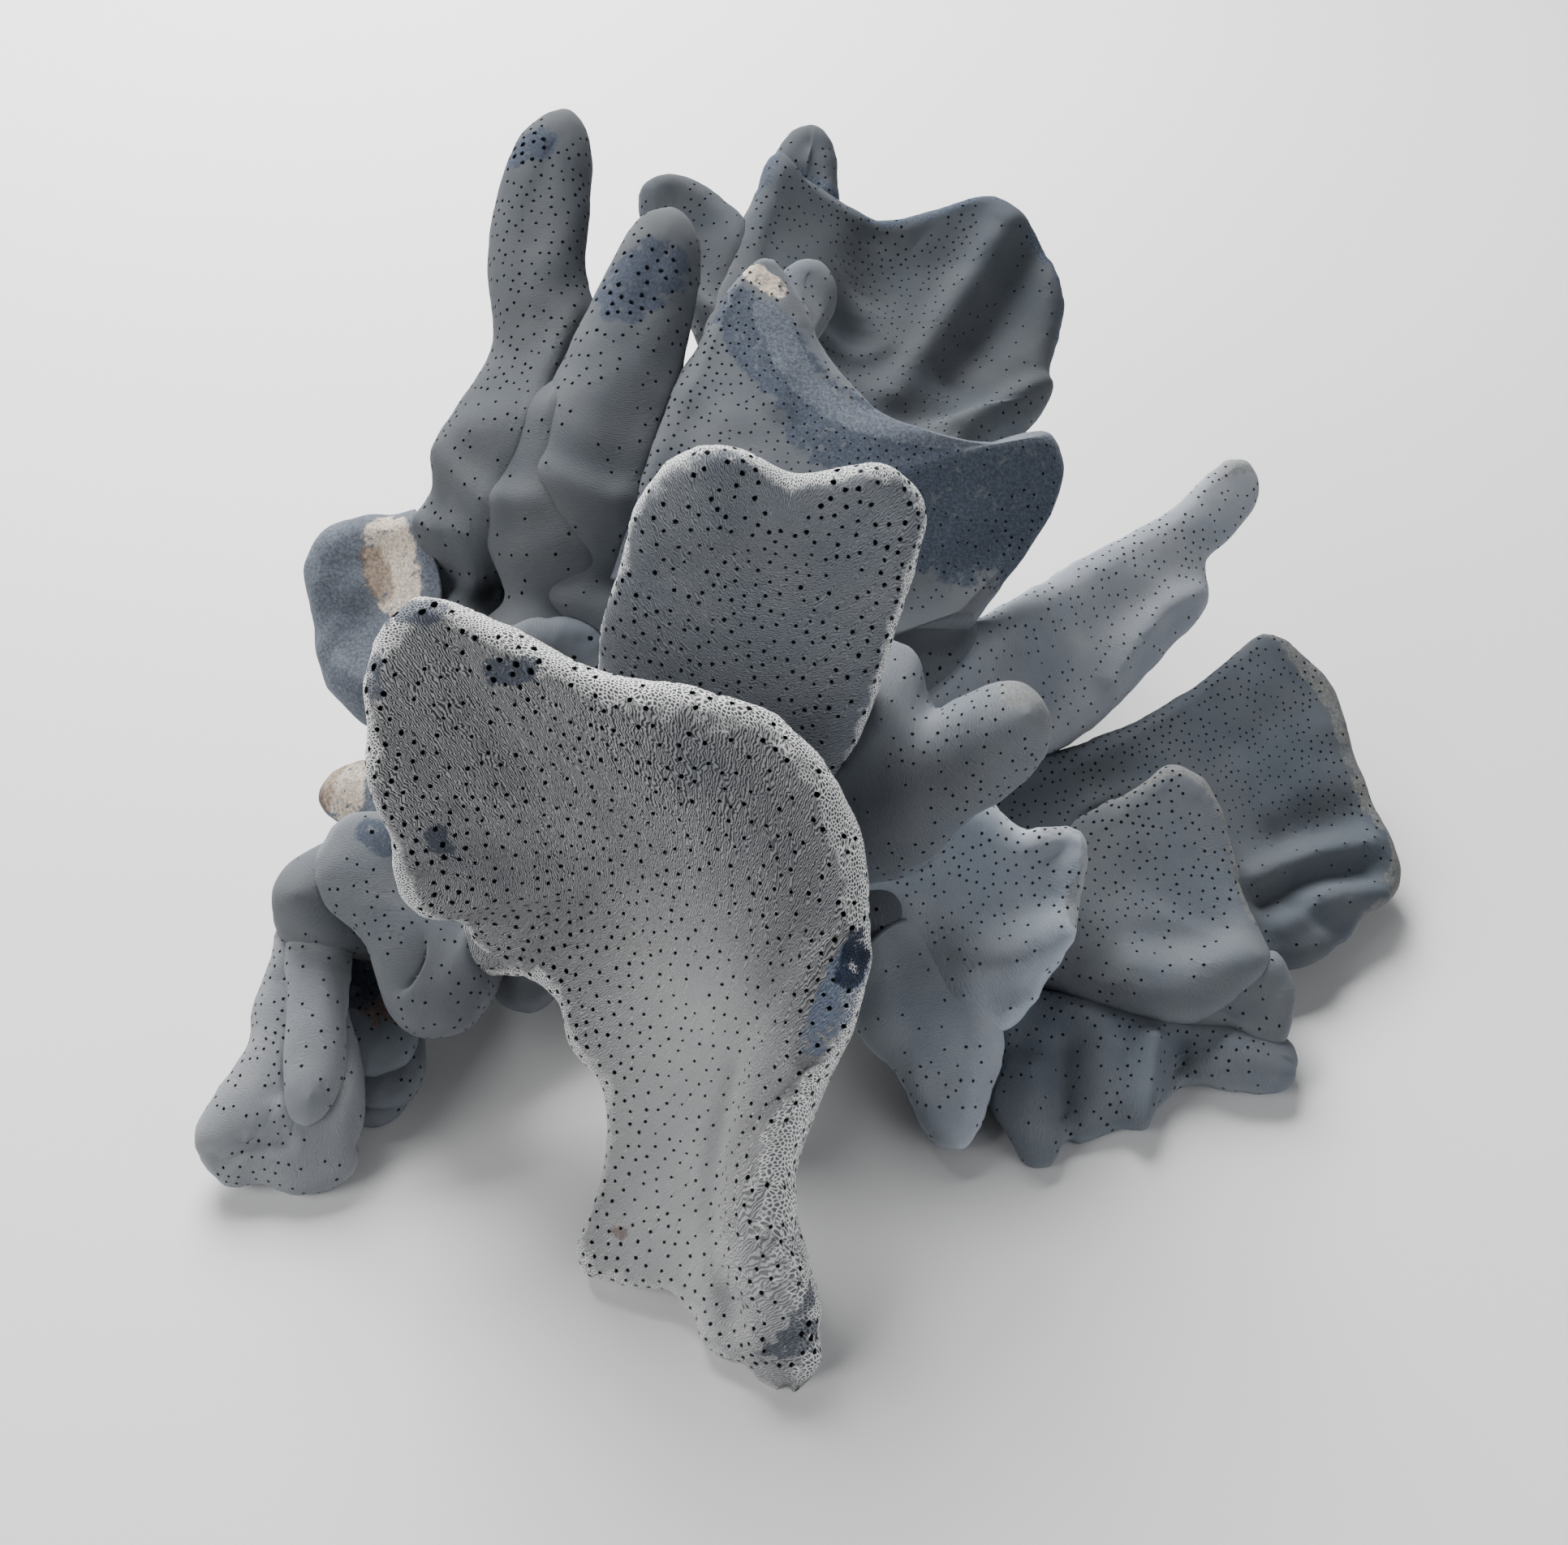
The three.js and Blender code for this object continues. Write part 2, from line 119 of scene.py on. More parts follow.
world = bpy.data.worlds.new("room")
world.use_nodes = True
background = world.node_tree.nodes["Background"]
background.inputs["Color"].default_value = ROOM_COLOUR
background.inputs["Strength"].default_value = ROOM_STRENGTH
bpy.context.scene.world = world
print("floor", 2 * FLOOR_REACH, "metres wide, with three soft lights")

# %% [markdown]
# Each blade of the skeleton is described by three lines: its left rim, its right rim and the spine between
# them. The rims meet at the tip. The points are in millimetres, in the frame of the CAD part, and follow the
# outlines in the photo. Half is half the thickness at the root and at the tip. Edge says how far in from the
# rim the blade starts to round over, in half thicknesses, and reach how far its rounded corners spread.
# The base has five such blades, which lead out of its knot.

# %% Stems of the base
BLADE_EDGE = 1.3
FINGER_EDGE = 1.8

BASE_STEMS = [
    # Neck of the front blade
    dict(
        left=[(-10, -16, 18), (-6, -29, 25), (0, -35, 30)],
        tip=(5, -39, 28),
        right=[(9, -20, 6), (11, -36, 10), (9, -42, 21)],
        spine=[(-2, -12, 12), (1, -29, 18), (3, -36, 24)],
        half=(9, 4.5), edge=BLADE_EDGE, reach=8,
    ),
    # Left stem
    dict(
        left=[(-12, -2, 30), (-28, -14, 27)],
        tip=(-41, -27, 17),
        right=[(-6, -18, 6), (-24, -32, 7), (-36, -33, 9)],
        spine=[(-10, -8, 16), (-24, -20, 17), (-35, -27, 16)],
        half=(10, 6), edge=FINGER_EDGE, reach=8,
    ),
    # Right stem
    dict(
        left=[(12, -2, 34), (27, -12, 31)],
        tip=(39, -26, 17),
        right=[(8, -18, 6), (26, -34, 9), (34, -33, 11)],
        spine=[(10, -8, 20), (24, -20, 20), (33, -26, 16)],
        half=(9, 3), edge=FINGER_EDGE, reach=8,
    ),
    # Ledge behind the front blade
    dict(
        left=[(-25, -7, 32), (-24, -4, 40), (-20, -4, 42)],
        tip=(-15, -4, 43),
        right=[(-8, -10, 35), (-12, -5, 42)],
        spine=[(-17, -10, 29), (-17, -6, 39)],
        half=(4, 2.6), edge=BLADE_EDGE,
    ),
    # Shelf behind the right finger
    dict(
        left=[(4, 6, 34), (22, 10, 35)],
        tip=(37, 7, 33),
        right=[(8, -12, 28), (28, -6, 28), (36, 0, 29)],
        spine=[(6, -3, 30), (24, 1, 33), (33, 4, 32)],
        half=(8, 5), edge=FINGER_EDGE, reach=8,
    ),
]

# %% [markdown]
# The branches are described in the same way. A branch that forks again has several blades, such as the back
# fan with its lobe and its spike. The front blade stands nearest to the camera, so its rim has the most points.
# Cell is the step of its grid, where that isn't the usual one.

# %% Branches
BRANCHES = {
    "front_blade": [
        # Sheet
        dict(
            left=[
                (11, -83, -3), (3, -80.5, 0), (1.5, -77, 0.5), (-1, -74.5, 1.5), (-6.5, -73, 1),
                (-11, -71.5, 1), (-12, -69.5, 2), (-10, -64.5, 5.5), (-8.5, -59, 11), (-9.5, -54.5, 15),
                (-13, -51.5, 18), (-14.5, -46, 21), (-22, -39.5, 21.5), (-26, -38.5, 27), (-28, -43, 33),
                (-30, -45, 36),
            ],
            tip=(-32, -43.5, 39),
            right=[
                (14, -83, -3), (15.5, -79, 4), (14, -74, 11), (12.5, -68, 17.5), (15, -62, 23),
                (20, -57, 32),
                (21, -52, 40), (19, -43, 50), (12, -36, 57), (3, -34, 59), (-8, -31, 59), (-20, -26, 62),
                (-28, -22.5, 62.5), (-32, -25.5, 61), (-34, -30, 56.5), (-33.5, -34, 53), (-34, -37, 49.5),
                (-33, -39, 45.5), (-31, -40, 42.5), (-31.5, -41.5, 41),
            ],
            spine=[
                (12.5, -81.5, -1), (5, -74, 4), (2, -62, 11), (4, -54, 22), (2, -46, 31), (-3.5, -41, 37.5),
                (-9, -42.5, 37.5), (-18, -44, 38.5), (-25, -43.5, 39.5), (-28.5, -43.5, 40),
            ],
            half=(3, 2.5), edge=BLADE_EDGE, reach=9, cell=0.62,
        ),
        # Bridge to the left knee
        dict(
            left=[(-7.5, -35, 25.5), (-20, -35.5, 26.5), (-27.5, -33, 24)],
            tip=(-32, -32, 18),
            right=[(-8, -39.5, 21), (-18.5, -42, 20.5), (-27, -38, 16)],
            spine=[(-5, -38, 22), (-18.5, -39, 23.5), (-28, -34, 20)],
            half=(2.5, 4.5), edge=FINGER_EDGE, reach=4.5,
        ),
    ],
    "centre_blade": [
        dict(
            left=[
                (-9, -9, 30), (-11, -11, 41), (-10, -11, 50), (-6, -11, 62), (-4, -10, 67), (0, -9, 71),
                (6, -8, 72),
                (10, -9, 71),
            ],
            tip=(13, -11, 70),
            right=[
                (17, -17, 22), (20, -21, 38), (24, -19, 50), (27, -15, 60), (28, -12, 66), (26, -10, 69),
                (22, -10, 71), (17, -10, 70),
            ],
            spine=[(3, -12, 20), (4, -16, 31), (9, -14, 50), (11.5, -12.5, 60), (12.5, -11.5, 66)],
            half=(4, 2.3), edge=BLADE_EDGE,
        ),
    ],
    "tall_finger": [
        dict(
            left=[
                (-39, 9, 32), (-35, 17, 47), (-33, 25, 53), (-28, 35, 59), (-29, 45, 65),
                (-28, 53, 71), (-24, 61, 77),
            ],
            tip=(-18, 65.5, 79),
            right=[
                (-9, 2, 31), (-11, 20, 47), (-13.5, 33, 56.5), (-16, 44, 64), (-15, 53, 70),
                (-15, 61, 76),
            ],
            spine=[(-27, 4, 26), (-24, 16, 44), (-22, 34, 58), (-22, 50, 69), (-20, 58, 74)],
            half=(8, 4.2), edge=FINGER_EDGE, reach=11,
        ),
        # Web to the short finger
        dict(
            left=[(-26, 3, 36), (-25, 13, 46), (-21, 23, 53)],
            tip=(-16.5, 27, 56),
            right=[(-10, 2, 38), (-11, 13, 48), (-13.5, 22, 54.5)],
            spine=[(-17.5, -1, 36), (-17.5, 12, 48.5), (-17, 22, 55)],
            half=(7, 4), edge=FINGER_EDGE, reach=11,
        ),
    ],
    "short_finger": [
        dict(
            left=[(-19, 3, 36), (-18, 18, 53), (-15.5, 28, 60), (-12, 37, 66.5), (-7.5, 45, 72)],
            tip=(-3, 48, 73),
            right=[(-4, 1, 38), (-5, 16, 50), (-3, 27, 57), (0, 38, 65), (0, 46, 70)],
            spine=[(-11, -1, 35), (-11, 17, 54), (-9, 31, 62), (-5, 42, 69)],
            half=(7, 4), edge=FINGER_EDGE, reach=11,
        ),
    ],
    "broken_plate": [
        # Plate
        dict(
            left=[(-10, 2, 44), (-7, 13, 51), (-2, 24, 57), (4, 36, 63.5), (7, 41, 66.5)],
            tip=(10.5, 43.5, 68),
            right=[
                (37, 2, 38), (44, 11, 41), (48, 17, 45), (49, 21, 49), (47, 23, 53), (41, 21, 53),
                (33, 20, 54), (26, 22, 55), (17, 30, 59), (13, 38, 64),
            ],
            spine=[(8, -9, 36), (9, 6, 48), (8, 20, 56), (8, 32, 62), (9, 39, 65.5)],
            half=(4.5, 2.8), edge=0.8,
        ),
        # Lobe behind the peak
        dict(
            left=[(10, 35, 59), (11, 42, 63), (12, 46, 65)],
            tip=(15, 48, 66),
            right=[(16, 36, 58), (19, 43, 60), (19, 47, 63)],
            spine=[(13, 32, 57), (14, 39, 60), (15, 45, 63)],
            half=(4, 3.2), edge=BLADE_EDGE,
        ),
    ],
    "back_fan": [
        # Fan
        dict(
            left=[
                (1, 30, 45), (1, 46, 52), (4, 60, 57), (8, 73, 62), (11, 79, 65), (14, 77, 62),
                (19, 76, 59), (27, 75, 57),
            ],
            tip=(35, 77, 57),
            right=[
                (32, 25, 37), (44, 43, 39), (51, 50, 38), (53, 58, 42), (55, 66, 46), (54, 72, 51),
                (50, 77, 55), (45, 80, 58), (40, 79, 58),
            ],
            spine=[(11, 15, 36), (17, 43, 41), (26, 61, 46), (32, 72, 53)],
            half=(4.5, 2.2), edge=BLADE_EDGE,
        ),
        # Left lobe
        dict(
            left=[(4, 44, 49), (-3, 56, 52.5), (-9, 68, 59), (-10, 73, 62)],
            tip=(-7, 76, 64),
            right=[(13, 45, 46), (10, 57, 51), (6, 68, 59), (3, 72, 61), (-1, 75, 63)],
            spine=[(9, 40, 46.5), (3, 54, 51), (-1, 62, 54.5), (-4, 71, 60)],
            half=(4, 2.6), edge=BLADE_EDGE,
        ),
        # Spike behind
        dict(
            left=[(8, 64, 53.5), (9, 79, 58), (11, 86, 63)],
            tip=(17, 90, 66),
            right=[(19, 64, 50.5), (20, 80, 58), (20, 86, 63)],
            spine=[(14, 56, 50), (15, 76, 56), (16, 85, 61)],
            half=(4, 2.6), edge=BLADE_EDGE,
        ),
    ],
    "right_finger": [
        dict(
            left=[
                (18.5, -9, 38), (22, -8, 42), (25.5, -8, 43.5), (28.5, -10, 43), (30, -14.5, 40),
                (31, -16.5, 39.5), (34.5, -16.5, 42), (38.5, -17, 45), (41, -17.5, 45.5),
            ],
            tip=(44, -20, 43.5),
            right=[
                (20.5, -28.5, 22), (25.5, -29.5, 24), (30.5, -29.5, 27), (35, -27.5, 32), (39.5, -26, 34.5),
                (43, -24.5, 38), (44.5, -22.5, 41.5),
            ],
            spine=[
                (18.5, -18.5, 29), (24.5, -22, 34.5), (31, -23, 37.5), (37.5, -23, 41.5),
                (41.5, -21.5, 43.5),
            ],
            half=(5.5, 3.8), edge=FINGER_EDGE,
        ),
    ],
    "right_frond": [
        dict(
            left=[(24, -6, 32), (43, 12, 33), (62, 27, 33), (69, 32, 34), (74, 37, 36)],
            tip=(81, 42, 37),
            right=[
                (30, -14, 22), (48, -4, 20), (59, 6, 19), (68, 15, 22), (73, 21, 24), (74, 28, 28),
                (79, 33, 30), (83, 38, 33),
            ],
            spine=[(20, -10, 26), (44, 4, 28), (60, 17, 29), (73, 29, 32), (78, 37, 35)],
            half=(4.5, 2.4), edge=BLADE_EDGE,
        ),
    ],
    "right_back_fan": [
        dict(
            left=[(27, -14, 20), (51, -4, 19), (70, 9, 19), (77, 15, 20), (83, 19, 21), (89, 16, 18)],
            tip=(93, 11, 15),
            right=[
                (30, -27, 10), (53, -28, 9), (70, -30, 4), (82, -29, 4), (88, -25, 4), (92, -20, 4),
                (97, -16, 4), (98, -11, 5), (96, -4, 8), (94, 4, 11),
            ],
            spine=[(24, -20, 16), (58, -13, 14), (78, -3, 13), (87, 5, 14)],
            half=(4, 2), edge=BLADE_EDGE,
        ),
    ],
    "right_mid_fan": [
        # Fan
        dict(
            left=[(27, -22, 14), (40.5, -19.5, 14), (53, -14.5, 17.5), (59, -12, 20.5), (63.5, -9.5, 22)],
            tip=(67.5, -10.5, 21.5),
            right=[
                (26, -33, 8), (40, -33, 8), (50, -36.5, 7.5), (60, -39.5, 8), (66, -39, 9), (72, -34.5, 11),
                (73, -31.5, 11), (72, -24.5, 14), (71.5, -19.5, 16.5), (70, -14.5, 19),
            ],
            spine=[(24, -26, 12), (40.5, -25, 10.5), (53, -25, 12.5), (61.5, -20, 17), (66, -14, 20)],
            half=(4, 1.9), edge=BLADE_EDGE, reach=7,
        ),
        # Side lobe
        dict(
            left=[(60, -34, 8), (67, -34, 8.5), (74, -32, 10), (76.5, -33.5, 9)],
            tip=(78, -36, 7.5),
            right=[(60, -39, 5), (68, -39.5, 5), (74, -42, 4), (77, -39.5, 5.5)],
            spine=[(58, -36, 6), (65, -36, 6.5), (72, -37.5, 7.5), (76, -36.5, 8)],
            half=(3.5, 2.2), edge=BLADE_EDGE, reach=7,
        ),
    ],
    "right_front_fan": [
        # Fan
        dict(
            left=[(23.5, -22, 25.5), (31, -20, 27), (37.5, -20.5, 27), (42, -23, 25), (46, -23.5, 26)],
            tip=(50.5, -24, 26),
            right=[
                (21.5, -33, 9), (28, -37.5, 8.5), (35, -42, 10.5), (42, -42.5, 13.5), (45.5, -39, 16.5),
                (48.5, -33.5, 20), (50, -28.5, 23),
            ],
            spine=[(20, -26, 14.5), (31, -28.5, 16), (39.5, -28, 18.5), (46.5, -26, 23)],
            half=(4, 1.8), edge=BLADE_EDGE, reach=10,
        ),
        # Lobe that hangs below
        dict(
            left=[(20.5, -35, 11), (22.5, -43, 8), (26.5, -47.5, 5.5), (28.5, -52, 3), (31, -55.5, 1.5)],
            tip=(34, -57, 1.5),
            right=[(36, -34, 13), (38, -42, 9.5), (38.5, -46.5, 7), (36.5, -51, 5), (36, -54.5, 3)],
            spine=[(28, -30, 13), (30.5, -43, 9.5), (33, -53.5, 3.5)],
            half=(4.5, 2.2), edge=BLADE_EDGE, reach=10,
        ),
    ],
    "right_foot": [
        dict(
            left=[
                (30, -28, 8), (38.5, -34, 6), (50.5, -35.5, 5), (63, -37.5, 4), (72.5, -39, 3),
                (77, -40.5, 2.5),
            ],
            tip=(78.5, -43.5, 1),
            right=[
                (30, -38, 4), (39.5, -44.5, 3), (40.5, -52.5, 1), (41.5, -56.5, 0.5), (44.5, -57.5, 0.5),
                (47, -54, 1), (49, -54, 0.5), (53.5, -52, 0.5), (56.5, -51.5, 1), (59.5, -48.5, 1),
                (64, -46, 1.5),
                (69, -46.5, 1.5), (74.5, -47, 1), (77.5, -45, 0.5),
            ],
            spine=[
                (28, -33, 7), (40, -40.5, 5), (48, -44, 4), (58, -43.5, 3), (67.5, -43, 3),
                (75, -43.5, 2.5),
            ],
            half=(4, 2.3), edge=BLADE_EDGE,
        ),
    ],
    "left_shoulder": [
        dict(
            left=[(-36, -20, 22), (-48.5, -25.5, 22.5), (-51.5, -29, 22.5)],
            tip=(-52.5, -31.5, 21),
            right=[(-37, -32, 10), (-45.5, -35, 16), (-50.5, -34.5, 18)],
            spine=[(-30, -23, 17), (-45, -32, 21.5), (-49, -33, 23)],
            half=(6.5, 5.5), edge=FINGER_EDGE, reach=9,
        ),
    ],
    "left_knee": [
        # Knee
        dict(
            left=[
                (-30, -22, 23), (-38, -25, 30), (-42, -26, 30), (-44.5, -31, 27.5), (-43.5, -35, 24.5),
                (-40, -37.5, 22), (-37.5, -40.5, 18.5),
            ],
            tip=(-37, -43, 15.5),
            right=[
                (-23.5, -32, 19), (-24, -42, 17), (-25.5, -45, 14.5), (-28.5, -46.5, 13), (-33, -46.5, 12.5),
                (-35.5, -45, 13.5),
            ],
            spine=[(-26, -25, 17), (-33.5, -35.5, 22.5), (-33, -40.5, 19.5)],
            half=(7, 5), edge=BLADE_EDGE, reach=5,
        ),
        # Lobe underneath
        dict(
            left=[(-27, -28, 8), (-25, -38, 9)],
            tip=(-21, -40.5, 8),
            right=[(-16.5, -28, 8), (-16.5, -37.5, 9.5)],
            spine=[(-22, -25, 8), (-21, -38, 9.5)],
            half=(5, 4), edge=FINGER_EDGE,
        ),
    ],
    "left_foot": [
        # Foot
        dict(
            left=[
                (-33, -12, 15), (-48, -25, 14.5), (-52.5, -36, 13.5), (-54.5, -42, 11.5), (-54.5, -46.5, 10),
                (-57, -51, 8.5), (-59.5, -54.5, 7),
            ],
            tip=(-60, -57, 5.5),
            right=[
                (-26, -22, 10), (-41, -30, 12), (-44.5, -37.5, 11), (-44.5, -45, 8), (-43, -51, 6),
                (-41, -55, 4.5),
                (-40, -57.5, 2.5), (-41.5, -59.5, 1), (-47, -61, 0.5), (-52.5, -60, 1.5), (-55.5, -61, 1),
                (-57, -59.5, 3), (-59, -58.5, 4),
            ],
            spine=[(-28, -15, 13), (-45, -28, 14), (-49, -41, 12.5), (-49.5, -50, 8.5), (-52, -56, 5.5)],
            half=(5, 3.8), edge=FINGER_EDGE, reach=9,
        ),
        # Roll down its right side
        dict(
            left=[(-49.5, -33, 17), (-48.5, -44, 14), (-48, -52, 10.5)],
            tip=(-46, -57, 7.5),
            right=[(-43, -33, 17), (-42, -44, 13.5), (-42, -52, 9.5)],
            spine=[(-46.5, -31, 18), (-45.2, -44.5, 14.8), (-45, -54, 10)],
            half=(3, 2.6), edge=FINGER_EDGE, reach=4,
        ),
    ],
    "left_back_foot": [
        # Upper ledge
        dict(
            left=[(-47, -33, 11), (-47, -41, 8.5), (-44.5, -46, 6.5)],
            tip=(-39, -48, 5.5),
            right=[(-35, -35, 9), (-33.8, -42, 8), (-35, -46, 6.5)],
            spine=[(-38, -30, 9), (-38.5, -42, 9), (-38.8, -46, 7.5)],
            half=(3.5, 2.6), edge=BLADE_EDGE, reach=1.5,
        ),
        # Middle ledge
        dict(
            left=[(-45, -40, 4.5), (-45.5, -46.5, 4), (-43, -49.5, 3.2)],
            tip=(-38.5, -50.8, 2.8),
            right=[(-34, -40, 4.5), (-33.4, -46.5, 4), (-34.8, -49.5, 3.2)],
            spine=[(-38, -36, 5), (-38, -46, 5), (-38, -49, 4)],
            half=(2.6, 2), edge=BLADE_EDGE, reach=1.5,
        ),
        # Lower ledge
        dict(
            left=[(-44, -43, 1.5), (-44.5, -49, 1.5), (-42.5, -51.5, 1.2)],
            tip=(-39.5, -52.6, 1),
            right=[(-36, -43, 1.5), (-35.8, -49, 1.5), (-37, -51.5, 1.2)],
            spine=[(-39, -40, 1.8), (-39.2, -48, 2), (-39.4, -51, 1.7)],
            half=(2.2, 1.8), edge=BLADE_EDGE, reach=1.5,
        ),
    ],
    "stump": [
        # Upper break
        dict(
            left=[(-39, 23, 39), (-51, 21, 38), (-54, 17, 35)],
            tip=(-53, 12, 30),
            right=[(-37, -4, 24), (-46, -2, 23), (-51, 4, 25)],
            spine=[(-31, 10, 30), (-46, 11, 30)],
            half=(9, 6), edge=0.6,
        ),
        # Lower break
        dict(
            left=[(-39, -8, 23), (-49, -8, 20)],
            tip=(-52, -11, 18),
            right=[(-41, -18, 18), (-49, -14, 17)],
            spine=[(-30, -12, 21), (-47, -11, 18)],
            half=(6, 3.4), edge=FINGER_EDGE,
        ),
    ],
}

print(len(BASE_STEMS), "stems and", sum(map(len, BRANCHES.values())), "blades in", len(BRANCHES), "branches")

# %% [markdown]
# The rims are smooth curves through the listed points. A centripetal Catmull-Rom curve passes through every
# point without loops, even where the points stand close together. It is read at equal steps, so the grid
# laid over the blade gets cells of one size.

# %% Smooth curves
CURVE_PARTS = 40


def smooth_curve(points):
    """Centripetal Catmull-Rom curve through the points, in CURVE_PARTS short steps between neighbours."""
    p = np.array(points, float)
    p = np.vstack([2 * p[0] - p[1], p, 2 * p[-1] - p[-2]])
    before, start, end, after = p[:-3], p[1:-2], p[2:-1], p[3:]
    neighbours = ((before, start), (start, end), (end, after))
    into, along, out = (np.linalg.norm(b - a, axis=1)[:, None] ** 0.5 for a, b in neighbours)
    leave = along * ((start - before) / into - (end - before) / (into + along) + (end - start) / along)
    arrive = along * ((end - start) / along - (after - start) / (along + out) + (after - end) / out)
    t = (np.arange(CURVE_PARTS) / CURVE_PARTS)[None, :, None]
    steps = (
        (2 * t**3 - 3 * t**2 + 1) * start[:, None]
        + (t**3 - 2 * t**2 + t) * leave[:, None]
        + (3 * t**2 - 2 * t**3) * end[:, None]
        + (t**3 - t**2) * arrive[:, None]
    )
    return np.vstack([steps.reshape(-1, 3), p[-2]])


def lengths_along(curve):
    """Distance along the curve from its start to each of its points."""
    return np.concatenate([[0], np.cumsum(np.linalg.norm(np.diff(curve, axis=0), axis=1))])


def even_steps(curve, count):
    """count points at equal distances along the curve."""
    lengths = lengths_along(curve)
    at = np.linspace(0, lengths[-1], count)
    return np.stack([np.interp(at, lengths, axis) for axis in curve.T], axis=1)


front_rim = smooth_curve(BRANCHES["front_blade"][0]["left"])
print("left rim of the front blade", round(lengths_along(front_rim)[-1]), "mm long")

# %% [markdown]
# A blade starts as a sheet without thickness, made of straight ribs from the spine to both rims. The two ribs
# of a row would meet at the spine in a corner, so a short parabola rounds it there.

# %% Ribs and middle sheet
CELL = 0.56
SPINE_ROUND = 0.5


def ribs_of(blade, rows):
    """Matching points up the left rim, the spine and the right rim, with s from 0 at the root to 1 at the
    tip. Without a number of rows, the longer rim is cut into steps of one cell."""
    rim = smooth_curve([*blade["left"], blade["tip"], *blade["right"][::-1]])
    tip = CURVE_PARTS * len(blade["left"])
    left, right = rim[: tip + 1], rim[tip:][::-1]
    lengths = lengths_along(left)[-1], lengths_along(right)[-1]
    if rows is None:
        rows = math.ceil(max(lengths) / blade.get("cell", CELL)) + 1
    return SimpleNamespace(
        left=even_steps(left, rows)[:, None],
        right=even_steps(right, rows)[:, None],
        spine=even_steps(smooth_curve(blade["spine"]), rows)[:, None],
        s=np.linspace(0, 1, rows)[:, None, None],
        rim_length=sum(lengths) / 2,
    )


def middle_sheet(ribs, x):
    """Point of the middle sheet at x, -1 on the left rim, 0 on the spine and 1 on the right rim. Two straight
    ribs meet at the spine, with the corner between them rounded by a short parabola."""
    x = x[..., None]
    near = np.clip(np.abs(x), 0, SPINE_ROUND)
    bulge = (SPINE_ROUND - near) ** 2 / (4 * SPINE_ROUND)
    to_right = np.maximum(x, 0) + bulge
    to_left = np.maximum(-x, 0) + bulge
    return ribs.spine + to_left * (ribs.left - ribs.spine) + to_right * (ribs.right - ribs.spine)


# %% [markdown]
# To thicken the sheet, the direction square to it is needed everywhere. The cross product of a step along the
# rib and a step up the rows gives it. It is found on a coarse grid and calmed, so that the thickness stays even
# where the ribs crowd together, and then read between the coarse points.

# %% Directions square to the sheet
COARSE_CELL = 2.5
COARSE_COLUMNS = 33
LEAST_ROWS = 6
CALM_ROUNDS = 5


def unit(vectors):
    """Vectors scaled to length one."""
    return vectors / np.maximum(np.linalg.norm(vectors, axis=-1, keepdims=True), 1e-9)


def read_grid(values, row, column):
    """Values of a coarse grid at broken row and column numbers, weighted between the four neighbours."""
    r = np.clip(np.floor(row).astype(int), 0, values.shape[0] - 2)
    c = np.clip(np.floor(column).astype(int), 0, values.shape[1] - 2)
    extra = (1,) * (values.ndim - 2)
    fr = (row - r).reshape(*row.shape, *extra)
    fc = (column - c).reshape(*column.shape, *extra)
    low = values[r, c] * (1 - fc) + values[r, c + 1] * fc
    high = values[r + 1, c] * (1 - fc) + values[r + 1, c + 1] * fc
    return low * (1 - fr) + high * fr


def calmed(values, times):
    """Each value averaged with its neighbours up and down the rows and along them, several times over."""
    for _ in range(times):
        padded = np.pad(values, ((1, 1), (1, 1)) + ((0, 0),) * (values.ndim - 2), mode="edge")
        values = (padded[:-2, 1:-1] + 2 * padded[1:-1, 1:-1] + padded[2:, 1:-1]) / 4
        padded = np.pad(values, ((0, 0), (1, 1)) + ((0, 0),) * (values.ndim - 2), mode="edge")
        values = (padded[:, :-2] + 2 * padded[:, 1:-1] + padded[:, 2:]) / 4
    return values


def sheet_directions(blade):
    """Directions square to the middle sheet on a coarse even grid, calmed so that the thickness stays even."""
    rows = max(LEAST_ROWS, round(ribs_of(blade, 2).rim_length / COARSE_CELL))
    ribs = ribs_of(blade, rows)
    x = np.broadcast_to(np.linspace(-1, 1, COARSE_COLUMNS), (rows, COARSE_COLUMNS))
    sheet = middle_sheet(ribs, x)
    direction = unit(np.cross(np.gradient(sheet, axis=1), np.gradient(sheet, axis=0)))
    direction[-1] = direction[-1] + direction[-1, ::-1]
    direction = calmed(unit(direction), CALM_ROUNDS)
    direction[-1] = direction[-1] + direction[-1, ::-1]
    return unit(direction)


# %% [markdown]
# Now the sheet is thickened to both sides. The faces stay parallel and the rim is rounded off as a quarter
# ellipse. The grid runs once round the blade in each row: over the front from the left rim to the right rim,
# then back over the rear face. Its last row folds shut where the two rims meet at the tip, and the rows near
# the fold are calmed so that no crease is left.

# %% Blade grids
CORNER_REACH = 5
MOST_TURN = 0.98


